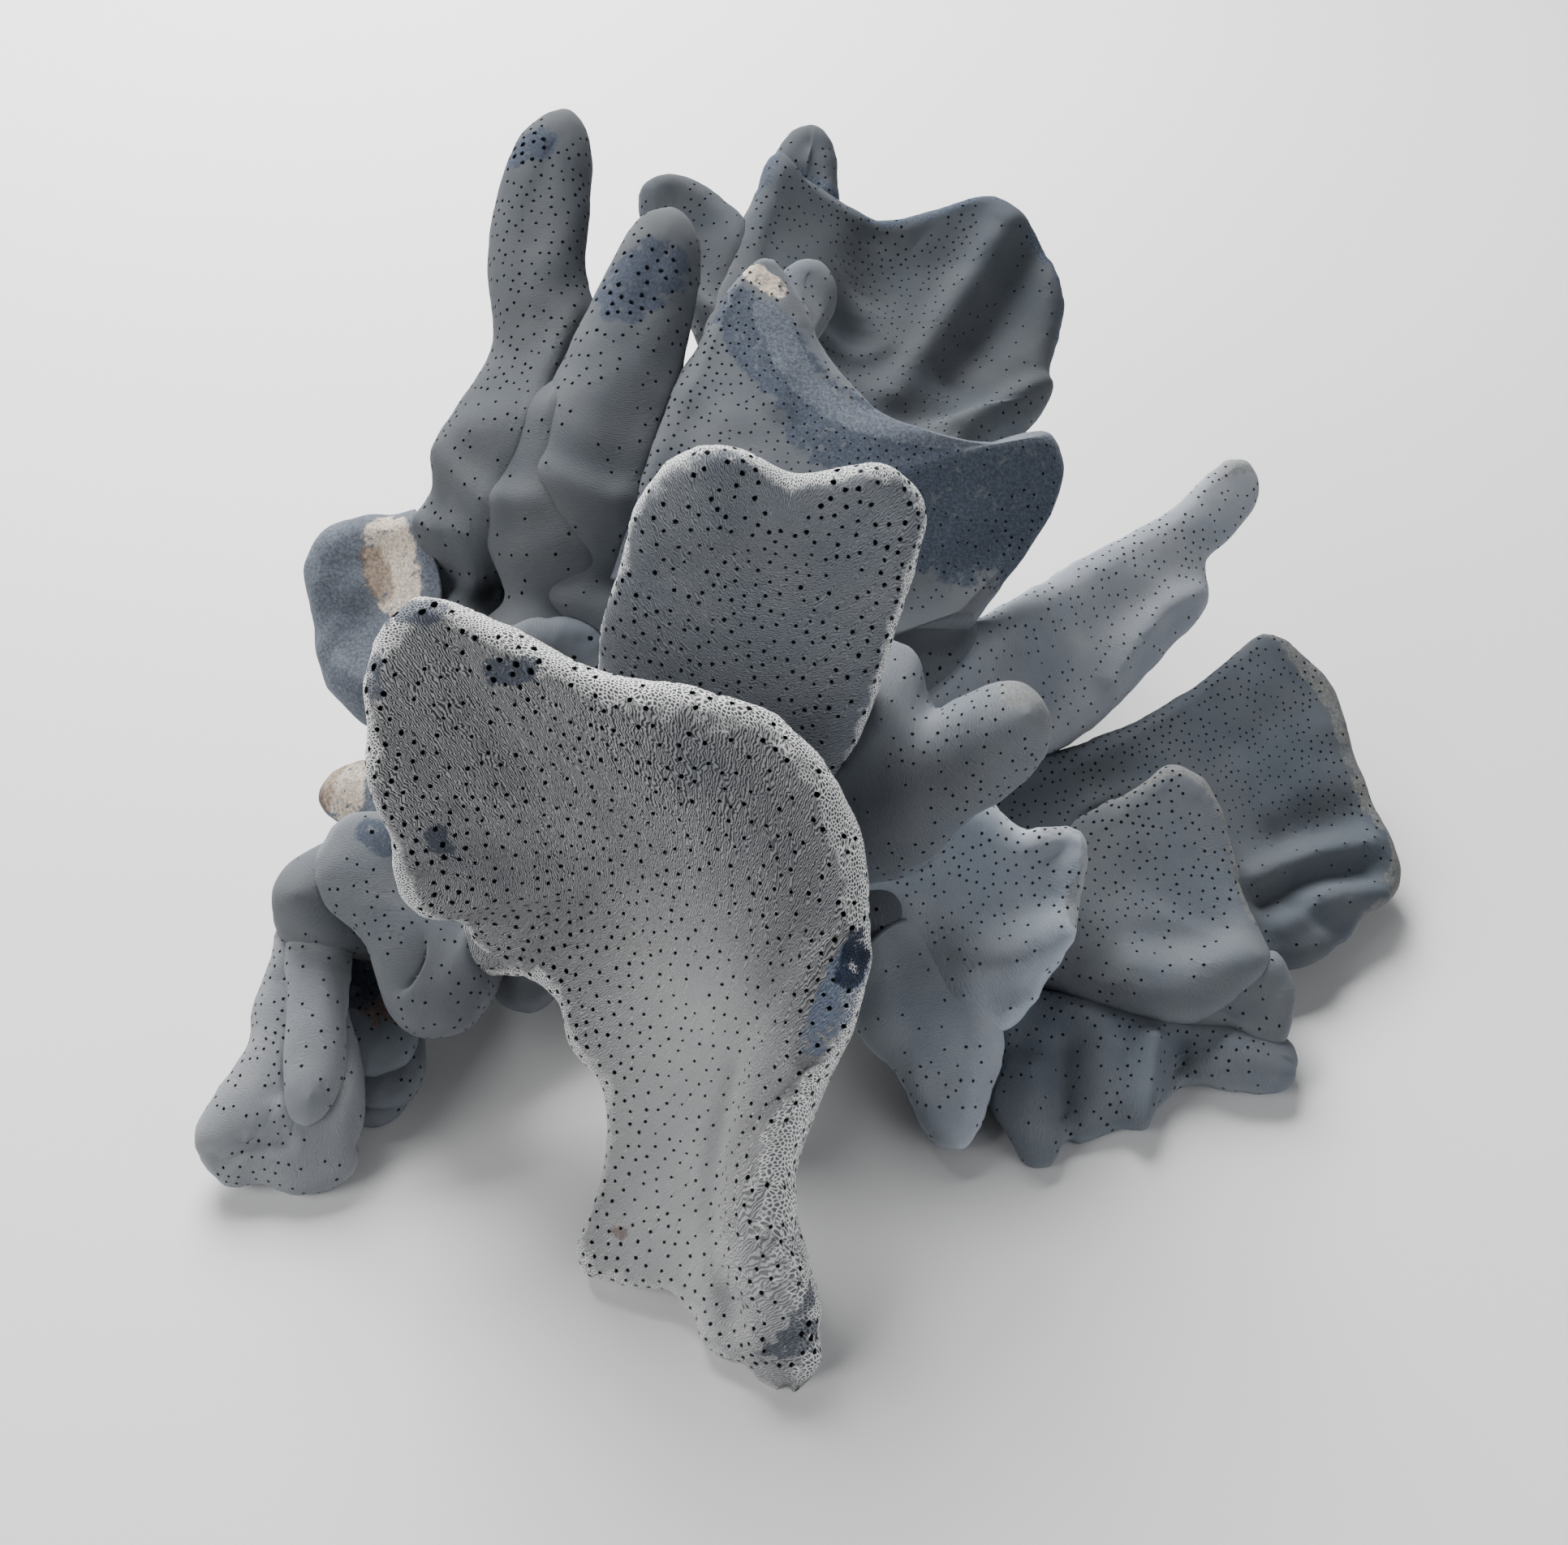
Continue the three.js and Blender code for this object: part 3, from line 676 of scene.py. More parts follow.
def blade_grid(blade):
    """The whole skin of a blade as rows of points. Along each rib the place is the distance a walked over the
    face and round the rim: straight for L - e, then a quarter ellipse e long and half a thickness high."""
    ribs = ribs_of(blade, None)
    rows = len(ribs.s)
    s = ribs.s[..., 0]
    half = blade["half"][0] + (blade["half"][1] - blade["half"][0]) * s
    rims = {"left": ribs.left, "right": ribs.right}
    rib = {side: np.linalg.norm(rim - ribs.spine, axis=2) for side, rim in rims.items()}
    turn = {side: np.minimum(blade["edge"] * half, MOST_TURN * rib[side]) for side in rib}
    bend = {side: math.pi / 2 * np.sqrt((turn[side] ** 2 + half**2) / 2) for side in rib}
    walk = {side: rib[side] - turn[side] + bend[side] for side in rib}
    steps = math.ceil(max(walk["left"].max(), walk["right"].max()) / blade.get("cell", CELL))

    k = np.linspace(-1, 1, 2 * steps + 1)[None]
    pick = lambda measure: np.where(k < 0, measure["left"], measure["right"])
    a = np.abs(k) * pick(walk)
    flat = pick(rib) - pick(turn)
    angle = np.clip((a - flat) / pick(bend), 0, 1) * math.pi / 2
    x = np.sign(k) * (np.minimum(a, flat) + pick(turn) * np.sin(angle)) / pick(rib)
    height = (half * np.cos(angle))[..., None]

    directions = sheet_directions(blade)
    row = np.broadcast_to(s * (len(directions) - 1), x.shape)
    normal = unit(read_grid(directions, row, (x + 1) / 2 * (COARSE_COLUMNS - 1)))
    sheet = middle_sheet(ribs, x)
    rear = slice(-2, 0, -1)
    points = np.concatenate([sheet + normal * height, (sheet - normal * height)[:, rear]], axis=1)
    rib_way = unit(np.where(k[..., None] < 0, ribs.left, ribs.right) - ribs.spine) * np.sin(angle)[..., None]
    face_way = normal * np.cos(angle)[..., None]
    outside = np.concatenate([rib_way + face_way, (rib_way - face_way)[:, rear]], axis=1)

    from_rim = pick(walk) - a
    along = np.broadcast_to(s * ribs.rim_length, x.shape)
    over = np.sign(k) * a
    under = np.sign(k) * (2 * pick(walk) - a)
    under[:, steps] = 2 * walk["right"][:, 0]
    along = np.concatenate([along, along[:, rear]], axis=1)
    around = np.concatenate([over, under[:, rear]], axis=1)
    return SimpleNamespace(
        points=calm_fold(points),
        normal=unit(calm_fold(unit(outside))),
        rim=np.concatenate([from_rim, from_rim[:, rear]], axis=1),
        uv=np.stack([along, around], axis=2),
        seam=3 * steps,
        seam_uv=-2 * walk["left"][:, 0],
        folds=True,
        reach=blade.get("reach", CORNER_REACH),
    )


FOLD_REACH = 7
FOLD_ROUNDS = 60


def calm_fold(points):
    """Smooths the crease along the fold. The rows near the tip are averaged with their neighbours, and the
    row after the last one is the row before it on the other side of the fold."""
    partner = fold_partner(points.shape[1])
    from_tip = np.arange(len(points))[::-1] * CELL
    weight = 0.5 * np.exp(-((from_tip / FOLD_REACH) ** 2))[:, None, None]
    for _ in range(FOLD_ROUNDS):
        longer = np.concatenate([points[:1], points, points[-2:-1, partner]])
        points = points + weight * ((longer[:-2] + longer[2:]) / 2 - points)
    return points


def fold_partner(columns):
    """Column that each column of the last row meets when the row folds shut at the tip."""
    steps = columns // 4
    column = np.arange(columns)
    return np.where(column <= 2 * steps, 2 * steps - column, (6 * steps - column) % columns)


# %% [markdown]
# The knot that all branches spring from is hidden in the photo. It is a squashed ball, cut off flat on the
# table, and its sides are fluted like the foot of a coral that grew on rock.

# %% Knot of the base
BASE_RADII = (38, 28, 27)
BASE_MIDDLE = 14
KNOT_CELL = 0.9
KNOT_TOP = math.radians(88)
KNOT_REACH = 8
WIDE_FLUTES, WIDE_DEPTH = 9, 0.05
FINE_FLUTES, FINE_DEPTH = 23, 0.025
NO_RIM = 30.0


def knot_grid():
    """Squashed ball by latitude and longitude, in rows from the cut at z = 0 up to the top. Two waves round the
    ball, which twist a little on the way up, flute its sides."""
    low = math.asin(-BASE_MIDDLE / BASE_RADII[2])
    rows = math.ceil(BASE_RADII[2] * (math.pi / 2 - low) / KNOT_CELL)
    columns = math.ceil(2 * math.pi * BASE_RADII[0] / KNOT_CELL)
    latitude = np.linspace(low, KNOT_TOP, rows)[:, None]
    longitude = np.linspace(0, 2 * math.pi, columns, endpoint=False)[None]
    wide = WIDE_DEPTH * np.sin(WIDE_FLUTES * longitude + 2 * np.sin(3 * latitude))
    fine = FINE_DEPTH * np.sin(FINE_FLUTES * longitude + 4 * latitude)
    flute = 1 + (wide + fine) * np.cos(latitude)
    points = np.stack(
        [
            BASE_RADII[0] * np.cos(latitude) * np.cos(longitude) * flute,
            BASE_RADII[1] * np.cos(latitude) * np.sin(longitude) * flute,
            BASE_MIDDLE + BASE_RADII[2] * np.sin(latitude) + 0 * longitude,
        ],
        axis=2,
    )
    normal = unit((points - (0, 0, BASE_MIDDLE)) / np.array(BASE_RADII) ** 2)
    along = BASE_RADII[0] * longitude + 0 * latitude
    up = BASE_RADII[2] * latitude + 0 * longitude
    return SimpleNamespace(
        points=points,
        normal=normal,
        rim=np.full(points.shape[:2], NO_RIM),
        uv=np.stack([along, up], axis=2),
        seam=None,
        folds=False,
        reach=KNOT_REACH,
    )


skins = {"base": [knot_grid(), *map(blade_grid, BASE_STEMS)]}
for name, blades in BRANCHES.items():
    skins[name] = [blade_grid(blade) for blade in blades]
every_skin = [skin for group in skins.values() for skin in group]
print(len(every_skin), "grids with", sum(skin.rim.size for skin in every_skin), "points")

# %% [markdown]
# Nothing that grows is quite even. Smooth noise swells and hollows the skin by a few tenths of a millimetre.
# It is made from random numbers at the corners of a lattice, blended between them, and the seed keeps it the
# same in every run.

# %% Uneven growth
LATTICE = 32
# Height in mm, size in mm and seed of the lumps, all over and near the rims
SWELLS = ((0.45, 11, 1), (0.22, 4.5, 2))
RIM_SWELLS = ((0.25, 2.2, 3), (0.12, 0.9, 4))
RIM_FADE = 3


def lumps(points, size, seed):
    """Smooth noise from -1 to 1 in lumps of about the given size: lattice values blended by smooth steps."""
    table = np.random.default_rng(seed).uniform(-1, 1, (LATTICE,) * 3)
    place = points / size
    corner = np.floor(place).astype(int)
    part = place - corner
    part = part * part * (3 - 2 * part)
    total = np.zeros(points.shape[:-1])
    for step in np.ndindex(2, 2, 2):
        weight = np.prod(np.where(np.array(step) == 1, part, 1 - part), axis=-1)
        i, j, k = np.moveaxis((corner + np.array(step)) % LATTICE, -1, 0)
        total += weight * table[i, j, k]
    return total


def push(skin, amount):
    """Moves every point out along its normal, then closes the folded tip again and keeps to the table."""
    skin.points = skin.points + skin.normal * amount[..., None]
    if skin.folds:
        last = skin.points[-1]
        skin.points[-1] = (last + last[fold_partner(len(last))]) / 2
    skin.points[..., 2] = np.maximum(skin.points[..., 2], 0)


for skin in every_skin:
    swell = sum(rise * lumps(skin.points, size, seed) for rise, size, seed in SWELLS)
    rim_swell = sum(rise * lumps(skin.points, size, seed) for rise, size, seed in RIM_SWELLS)
    push(skin, swell + np.exp(-skin.rim / RIM_FADE) * rim_swell)
print("lumps of up to", sum(rise for rise, _, _ in SWELLS + RIM_SWELLS), "mm on the skins")

# %% [markdown]
# A living blade is never flat: it folds, flutes and curls as it grows. Each fold or hollow is drawn as a line
# over the skin, and the skin rises or sinks along it. The rise fades with the distance from the line as a bell
# curve, or as a plateau with steep sides for a rolled rim or a chip. Rough adds lumps along the line.

# %% Lines of folds and hollows
FOLDS = {
    "front_blade": [
        # Hollows above and below the ridge that runs out into the chin
        dict(
            path=[(-24, -43, 44.5), (-17.5, -42, 42.5), (-9.5, -41.5, 41.5), (-1, -42, 44)],
            width=3.2, rise=-1.1,
        ),
        dict(path=[(-23, -44, 32.5), (-14.5, -43.5, 32), (-7, -44, 34.5)], width=3, rise=-1.2),
        # Thin crease across the flange
        dict(
            path=[(-24, -40, 47.5), (-15.5, -39.5, 45), (-6.5, -40, 45.5), (2.5, -41, 49.5)],
            width=0.6, rise=-0.3,
        ),
        # Rolled rim of the leg, with the crease beside it
        dict(
            path=[
                (17, -54, 37), (11.5, -61, 25.5), (9, -66.5, 19.5), (8.5, -72, 15.5), (10, -77, 10),
                (12, -81, 3),
            ],
            width=4, rise=2.2, flat=2,
        ),
        dict(path=[(6.5, -59, 24), (4, -66.5, 14.5), (4, -74, 9.5), (6, -79, 5)], width=1.5, rise=-0.7),
        # Lumps on the foot
        dict(path=[(9, -75, 12), (11.5, -79, 8), (12, -83, 2)], width=6, rise=0.3, rough=1.6),
        dict(path=[(1, -76, 3), (8, -81, 2)], width=4, rise=0, rough=1.2),
        # Chip in the right rim
        dict(
            path=[(19.5, -54, 39.5), (18, -56, 36.5), (16.5, -58.5, 33), (16, -60.5, 30)],
            width=2, rise=-1.5, flat=2,
        ),
    ],
    "centre_blade": [
        dict(
            path=[(-3.5, -14.5, 59), (6, -14.5, 60), (15, -15.5, 58.5), (23.5, -18.5, 56.5)],
            width=3, rise=-0.9,
        ),
        dict(path=[(4, -10.5, 72), (4, -13, 66)], width=3, rise=0.8),
    ],
    "tall_finger": [
        # Two folds across the body, the recess below them and the hole in it
        dict(path=[(-33.5, 18, 51.5), (-26, 10.5, 50), (-20, 9.5, 50)], width=2.5, rise=1.4),
        dict(path=[(-36.5, 13.5, 44.5), (-31.5, 10.5, 45), (-26, 9, 44.5), (-20, 8, 44)], width=2, rise=1.3),
        dict(path=[(-32, 8, 41), (-26, 6, 41), (-22, 3.5, 41), (-16, 0, 43)], width=3.6, rise=-4.5),
        dict(path=[(-27.5, 4, 40.5), (-24.5, 3.5, 40)], width=1.8, rise=-3),
        dict(path=[(-33, 20.5, 53), (-27, 19, 56)], width=4, rise=1.1),
    ],
    "short_finger": [
        dict(path=[(-18, 2.5, 46.5), (-12, 1, 47)], width=4, rise=-2),
        dict(path=[(-16.5, 10, 54), (-10, 8, 53)], width=2.5, rise=1.2),
    ],
    "back_fan": [
        dict(path=[(46.5, 74, 56), (37, 60.5, 48.5), (28, 45.5, 44)], width=3.3, rise=1.9),
        dict(path=[(50.5, 70.5, 54), (44.5, 61, 48.5), (38, 51, 44.5)], width=3.8, rise=-2.4),
        dict(path=[(51, 51.5, 41.5), (45.5, 47.5, 42), (37.5, 40.5, 42.5)], width=2.4, rise=1.6),
        dict(path=[(26, 69.5, 56), (23.5, 59, 51), (21, 50.5, 48)], width=5, rise=-1.4),
    ],
    "right_frond": [
        dict(path=[(71, 20, 28), (66.5, 16, 28.5), (61.5, 10.5, 27), (57.5, 5, 24.5)], width=2, rise=1.1),
        dict(path=[(70, 25, 31), (62, 17, 30.5), (54, 9, 30)], width=3, rise=-0.8),
    ],
    "right_back_fan": [
        dict(path=[(93.5, -11.5, 9), (84.5, -14.5, 10), (75, -20, 11)], width=2.2, rise=1.5),
        dict(path=[(92, -15, 8), (85, -17.5, 9.5), (76, -22.5, 10)], width=1.9, rise=-1.5),
        dict(path=[(93.5, -19, 6.5), (86.5, -20.5, 8.5), (78, -26, 8.5)], width=2, rise=1.2),
        dict(path=[(91, -7, 10.5), (80.5, -12.5, 12)], width=3, rise=-1.2),
        dict(path=[(86.5, -25, 6.5), (81, -23, 9)], width=1.8, rise=-1),
    ],
    "right_mid_fan": [
        dict(path=[(69.5, -35.5, 14.5), (61.5, -37, 13.5), (56.5, -36, 13)], width=2.6, rise=1.3),
        dict(path=[(66, -33, 15), (58, -32, 15)], width=2.4, rise=-0.7),
    ],
    "right_front_fan": [
        dict(path=[(46.5, -36, 20), (40.5, -39, 18.5), (35, -39.5, 18)], width=2, rise=1.4),
        dict(path=[(45, -32, 21.5), (37.5, -33.5, 20), (30.5, -35.5, 19.5)], width=3, rise=-1),
        dict(path=[(44, -40, 16), (38, -42, 15)], width=1.8, rise=-0.9),
    ],
    "right_foot": [
        # Flutes of the low fan, ridges and hollows by turns
        dict(path=[(42.5, -47, 6.5), (42.5, -54, 5)], width=2.4, rise=1.9),
        dict(path=[(48, -44, 6.5), (47.5, -52, 5)], width=2.3, rise=-2.3),
        dict(path=[(53.5, -44, 6), (52.5, -50.5, 4.5)], width=1.7, rise=0.5),
        dict(path=[(58.5, -43, 6), (56.5, -51, 3)], width=1.8, rise=2.2),
        dict(path=[(63.5, -43, 6), (62.5, -46, 4)], width=2.3, rise=-2),
        dict(path=[(68.5, -43.5, 6.5), (75, -46, 4)], width=2.2, rise=1.4),
    ],
    "stump": [
        # Uneven break
        dict(path=[(-42, 12, 34), (-50, 8, 32), (-47, -12, 20)], width=20, rise=0, rough=0.35),
    ],
    "left_foot": [
        # Groove beside the roll, and the notch between the toes
        dict(path=[(-50, -41, 16.5), (-49.5, -46, 14.5), (-49, -53, 11)], width=1.5, rise=-0.7),
        dict(path=[(-56.5, -59.5, 6), (-52.5, -58.5, 7.5), (-48, -58, 8)], width=1.3, rise=-1),
    ],
}


PATH_STEPS = 2.5
SEEN_WIDTHS = 3
ROUGH_SIZE = 3.2
ROUGH_SEED = 5


def nearness(points, path, width, flat=1):
    """1 on a smooth path and 0 far from it: e to the power of minus (d / width) squared, for the distance d.
    flat raises the power again, which makes a plateau with steep sides."""
    curve = smooth_curve(path)
    samples = even_steps(curve, 3 + int(PATH_STEPS * lengths_along(curve)[-1] / width))
    low, high = samples.min(0) - SEEN_WIDTHS * width, samples.max(0) + SEEN_WIDTHS * width
    close = np.all((points > low) & (points < high), axis=-1)
    away = ((points[close][:, None] - samples) ** 2).sum(2).min(1, initial=np.inf)
    weight = np.zeros(points.shape[:-1])
    weight[close] = np.exp(-((away / width**2) ** flat))
    return weight


for name, folds in FOLDS.items():
    for skin in skins[name]:
        amount = 0
        for fold in folds:
            height = fold["rise"] + fold.get("rough", 0) * lumps(skin.points, ROUGH_SIZE, ROUGH_SEED)
            amount = amount + height * nearness(skin.points, fold["path"], fold["width"], fold.get("flat", 1))
        push(skin, amount)
print(sum(map(len, FOLDS.values())), "folds and hollows on", len(FOLDS), "branches")

# %% [markdown]
# Where branches meet, the living coral laid skeleton into the corner and rounded it off. A plain crossing of
# two grids would leave a sharp line. So each skin swells near its neighbours, out to the smooth union of both.
# With a and b for the distances from the two skins, that is where the smaller of a and b, less the square of
# k - |a - b| over 4 k, is zero. The hollow curve starts where the two skins are k apart.

# %% Rounded corners between branches
SAMPLE_STEP = 3
FAR = 15
BLOCK_POINTS = 500


def coarse(skin):
    """Every third point of a grid with its normal, and the reach of the corners of this skin."""
    points = skin.points[::SAMPLE_STEP, ::SAMPLE_STEP]
    return points, skin.normal[::SAMPLE_STEP, ::SAMPLE_STEP], np.full(points.shape[:2], float(skin.reach))


def corner_rise(skin, shape, others):
    """How far each point rises, and its distance to the nearest other skin, negative inside it. Both are
    found on every third point, square to the nearest sample of the others, and weighted out to the grid."""
    flat = shape[0].reshape(-1, 3)
    samples, normals = (np.concatenate([other[part].reshape(-1, 3) for other in others]) for part in (0, 1))
    reaches = np.concatenate([other[2].ravel() for other in others])
    inside = np.all((samples > flat.min(0) - FAR) & (samples < flat.max(0) + FAR), axis=1)
    samples, normals, reaches = samples[inside], normals[inside], reaches[inside]
    gap = np.full(len(flat), float(FAR))
    lean = np.zeros(len(flat))
    reach = np.full(len(flat), float(skin.reach))
    own = shape[1].reshape(-1, 3)
    for block in np.array_split(np.arange(len(flat)), max(1, len(flat) // BLOCK_POINTS)):
        if len(samples) == 0:
            break
        away = (samples**2).sum(1)[None] - 2 * flat[block] @ samples.T
        nearest = away.argmin(1)
        straight = np.linalg.norm(flat[block] - samples[nearest], axis=1)
        gap[block] = ((flat[block] - samples[nearest]) * normals[nearest]).sum(1)
        gap[block] = np.where(straight < FAR, gap[block], FAR)
        lean[block] = (own[block] * normals[nearest]).sum(1)
        reach[block] = np.minimum(reach[block], reaches[nearest])
    rows, columns = skin.rim.shape
    row, column = np.meshgrid(np.arange(rows) / SAMPLE_STEP, np.arange(columns) / SAMPLE_STEP, indexing="ij")
    gap, lean, reach = (evened(part.reshape(shape[0].shape[:2]), 2) for part in (gap, lean, reach))
    rise = evened(smooth_union(gap, lean, reach), 1)
    return tuple(
        evened(read_grid(np.concatenate([part, part[:, :1]], axis=1), row, column), 2) for part in (rise, gap)
    )


def evened(values, times):
    """Each value averaged with its neighbours up and down the rows and round them, several times over."""
    for _ in range(times):
        longer = np.concatenate([values[:1], values, values[-1:]])
        values = (longer[:-2] + 2 * values + longer[2:]) / 4
        values = (np.roll(values, 1, axis=1) + 2 * values + np.roll(values, -1, axis=1)) / 4
    return values


LEAST_MEETING = 0.02
FACING = -0.2
STEEP_FROM = 0.4
STEEP_OVER = 0.4
PAST_OTHER = 0.3
FADE_INSIDE = 1.5


def smooth_union(gap, lean, reach):
    """Rise along the normal to the smooth union of two skins. With m = 1 - lean it solves the rounded minimum
    of the own distance t and the other distance gap + lean t, first where the own one is smaller. The rise
    stops just past the other skin where the two meet steeply, and fades out inside it."""
    d = np.clip(gap, 0, reach)
    m = np.clip(1 - lean, LEAST_MEETING, 2)
    inner = reach * (reach - m * (reach - d))
    nearer = (2 * reach - m * (reach - d) - 2 * np.sqrt(np.maximum(inner, 0))) / m**2
    b = 2 * m * (reach + d) + 4 * reach * (1 - m)
    farther = (b - np.sqrt(np.maximum(b**2 - 4 * m**2 * (reach - d) ** 2, 0))) / (2 * m**2)
    rise = np.where(m * nearer <= d, nearer, np.where(lean > FACING, farther, d / m))
    rise = np.where(inner > 0, rise, d / m)
    steep = np.clip((m - STEEP_FROM) / STEEP_OVER, 0, 1)
    rise = np.minimum(rise, (d + PAST_OTHER) / m + (1 - steep) * reach)
    return np.clip(rise, 0, reach / 2) * np.clip(1 + gap / FADE_INSIDE, 0, 1)


shapes = [coarse(skin) for skin in every_skin]
for number, skin in enumerate(every_skin):
    rise, skin.gap = corner_rise(skin, shapes[number], shapes[:number] + shapes[number + 1 :])
    push(skin, rise)
deepest = min(skin.gap.min() for skin in every_skin)
print("corners rounded; deepest point", round(-deepest, 1), "mm inside another skin")

# %% [markdown]
# Some places look different from the rest: the worn break along the plate, the blue chip in the front rim,
# cream and rusty patches, dark blue stains, stretches that are paler, partly bleached and partly painted light,
# and stretches darkened as painted shade. Each is a line with a radius. The skin carries one measure for each
# kind, 1 on the line and 0 away from it, which the materials read.

# %% Marks on the skin
MARKS = {
    "front_blade": [
        ("blue", [(19.5, -54.5, 38.5), (18, -56.5, 35.5), (16, -59.5, 31.5)], 2.4),
        ("chip", [(20, -53.5, 39.5), (19, -55, 37.5)], 1.9),
        ("stain", [(-19.5, -30.5, 58.5), (-16, -31, 59.5)], 1.6),
        ("stain", [(-26, -42.5, 45), (-25, -43.5, 44)], 1.5),
        ("stain", [(-33, -30, 59.5), (-32.5, -32, 58)], 1.5),
        ("stain", [(-31, -25, 62), (-26.5, -25, 63)], 1.8),
        ("stain", [(9.5, -77.5, 9), (13, -78, 8.5)], 2.5),
        ("stain", [(10.5, -81, 4.5), (13.5, -80.5, 5.5)], 2.5),
        ("rust", [(-7.5, -69, 7), (-6.5, -69.5, 7)], 0.7),
        # Paler leg: partly its own bleached colour, partly painted light
        ("pale", [(3, -52, 24), (1, -60, 15), (0, -68, 9), (2, -75, 5)], 12),
        # Painted shade inside the upper right rim of the flange
        ("painted_shade", [(2, -38, 54), (10, -42, 50), (15, -48, 42), (13, -54, 34)], 5),
    ],
    "tall_finger": [("stain", [(-24.5, 55, 76.5), (-21.5, 56, 78)], 2.5)],
    "short_finger": [("stain", [(-9, 32.5, 68.5), (-4.5, 36, 70)], 4.5)],
    "broken_plate": [
        ("worn", [(5.5, 32.5, 66), (9, 29, 64)], 3.6),
        ("worn", [(9, 29, 64), (13, 24, 61.5), (17, 19, 59)], 4.8),
        ("worn", [(18.5, 18, 58), (27, 15, 55.5), (37, 13.5, 51.5), (45.5, 15, 50)], 6.2),
        ("worn", [(28, 8, 50), (37, 8.5, 47), (44, 10, 46)], 7),
        (
            "break",
            [(10, 32, 66), (14.5, 24, 61), (21, 19.5, 58.5), (29.5, 18, 57), (39, 19, 55.5), (47, 21.5, 54)],
            2.3,
        ),
        ("cream", [(8, 38, 68), (11, 36, 67)], 1.6),
    ],
    "back_fan": [
        (
            "worn",
            [
                (9, 74, 62), (11, 79, 65), (14, 77, 62), (19, 76, 59), (27, 75, 57), (35, 77, 57),
                (45, 80, 58),
                (54, 72, 51), (55, 66, 46), (53, 57, 41),
            ],
            2.6,
        ),
    ],
    "right_finger": [("tan", [(40, -20, 46.5), (44, -20, 44)], 3.5)],
    "right_frond": [("tan", [(76, 38, 37), (82, 41, 37)], 3)],
    "right_mid_fan": [
        ("tan", [(58, -12.5, 20), (63, -10, 23), (67.5, -11, 22.5), (71, -16, 19), (72.5, -28, 13)], 2),
    ],
    "right_front_fan": [("tan", [(46, -23.5, 26), (50.5, -24, 26), (48.5, -33.5, 20)], 1.8)],
    "right_back_fan": [
        # Painted shade over the fan's upper side, towards its left rim
        ("painted_shade", [(45, -8, 18), (60, 0, 18), (72, 7, 18)], 9),
        ("tan", [(83, 19, 21), (91, 11, 17), (95, -3, 10), (98, -11, 6), (92, -20, 4)], 2.6),
    ],
    "left_knee": [("stain", [(-38, -29.5, 32), (-36.5, -31, 31.5)], 2)],
    "left_back_foot": [
        # A small hole painted dark: the dark stain is painted shade, the rusty tint the coral's own colour
        ("stain", [(-43.5, -36.5, 12), (-41, -39, 11)], 2.6),
        ("rust", [(-41.5, -39, 11), (-38.5, -41.5, 10.5)], 2),
    ],
    "stump": [
        ("break", [(-42, 12, 34), (-50, 8, 32), (-47, -12, 20)], 22),
        ("cream", [(-41, 14, 41.5), (-40, 8, 39)], 4),
        ("rust", [(-43.5, 12, 41), (-42, 8, 38)], 1.8),
        ("cream", [(-46, -9.5, 23), (-47, -15, 21.5)], 3.5),
        ("rust", [(-49, -10, 22), (-50, -13, 20)], 2.5),
    ],
}
SOFT_KINDS = ("pale", "painted_shade")
MARK_KINDS = (*SOFT_KINDS, "tan", "worn", "break", "blue", "chip", "cream", "rust", "stain")

for name, group in skins.items():
    for skin in group:
        skin.marks = {kind: np.zeros(skin.rim.shape) for kind in MARK_KINDS}
        for kind, path, radius in MARKS.get(name, []):
            weight = nearness(skin.points, path, radius, 1 if kind in SOFT_KINDS else 2)
            skin.marks[kind] = np.maximum(skin.marks[kind], weight)
print(sum(map(len, MARKS.values())), "marks")

# %% [markdown]
# The pores are round pits, about half a millimetre wide on the front blade and smaller on most other branches.
# They are cut into the mesh itself. Places are drawn at random from the grid, and a place is kept if no earlier
# one is too near, which spreads them as evenly as in life. Towards the rim the pits are wider and deeper.

# %% Places for the pores
PORE_SPACING = 1.34
PORE_RADIUS = 0.27
PORE_BATCH = 1500
PORE_BLOCK = 4000


def spread_places(points, spacing, rng):
    """Numbers of the points kept when each batch drops those nearer than spacing to one kept before."""
    left = rng.permutation(len(points))
    kept = []
    while len(left):
        batch, left = left[:PORE_BATCH], left[PORE_BATCH:]
        p = points[batch]
        apart = np.sum((p[:, None] - p[None]) ** 2, axis=2)
        clash = np.tril(apart < spacing**2, -1)
        batch = batch[~clash.any(axis=1)]
        kept.append(batch)
        free = np.ones(len(left), bool)
        for block in np.array_split(np.arange(len(left)), max(1, len(left) // PORE_BLOCK)):
            q = points[left[block]]
            away = (q**2).sum(1)[:, None] + (points[batch] ** 2).sum(1)[None] - 2 * q @ points[batch].T
            free[block] = away.min(axis=1) > spacing**2
        left = left[free]
    return np.concatenate(kept) if kept else np.empty(0, int)


PORE_SIZES = {"base": 1, "front_blade": 1, "centre_blade": 1.05, "tall_finger": 0.85, "short_finger": 0.85}
OTHER_PORES = 0.72

for name, group in skins.items():
    for skin in group:
        skin.pore_radius = PORE_RADIUS * PORE_SIZES.get(name, OTHER_PORES)

# Blocks of grid cells that a pit may take up, and where it finds room, in mm
HALF_BLOCK = 0.42
TALLEST = 8
WIDEST = 4
LEAST_HALF = 0.2
WIDEST_STEP = 1.2
ABOVE_TABLE = 1
FROM_CORNER = 0.3
MARK_LIMIT = 0.3

# Shares of the radius and depths in mm: on the face, more at the rim, and the random part
RIM_REACH = 9
RADIUS_FACE, RADIUS_RIM, RADIUS_CHANCE = 0.8, 0.45, 0.16
DEPTH_FACE, DEPTH_RIM, DEPTH_CHANCE = 0.35, 0.4, 0.08
STAIN_GAIN = 0.5
PALE_LOSS = 0.25


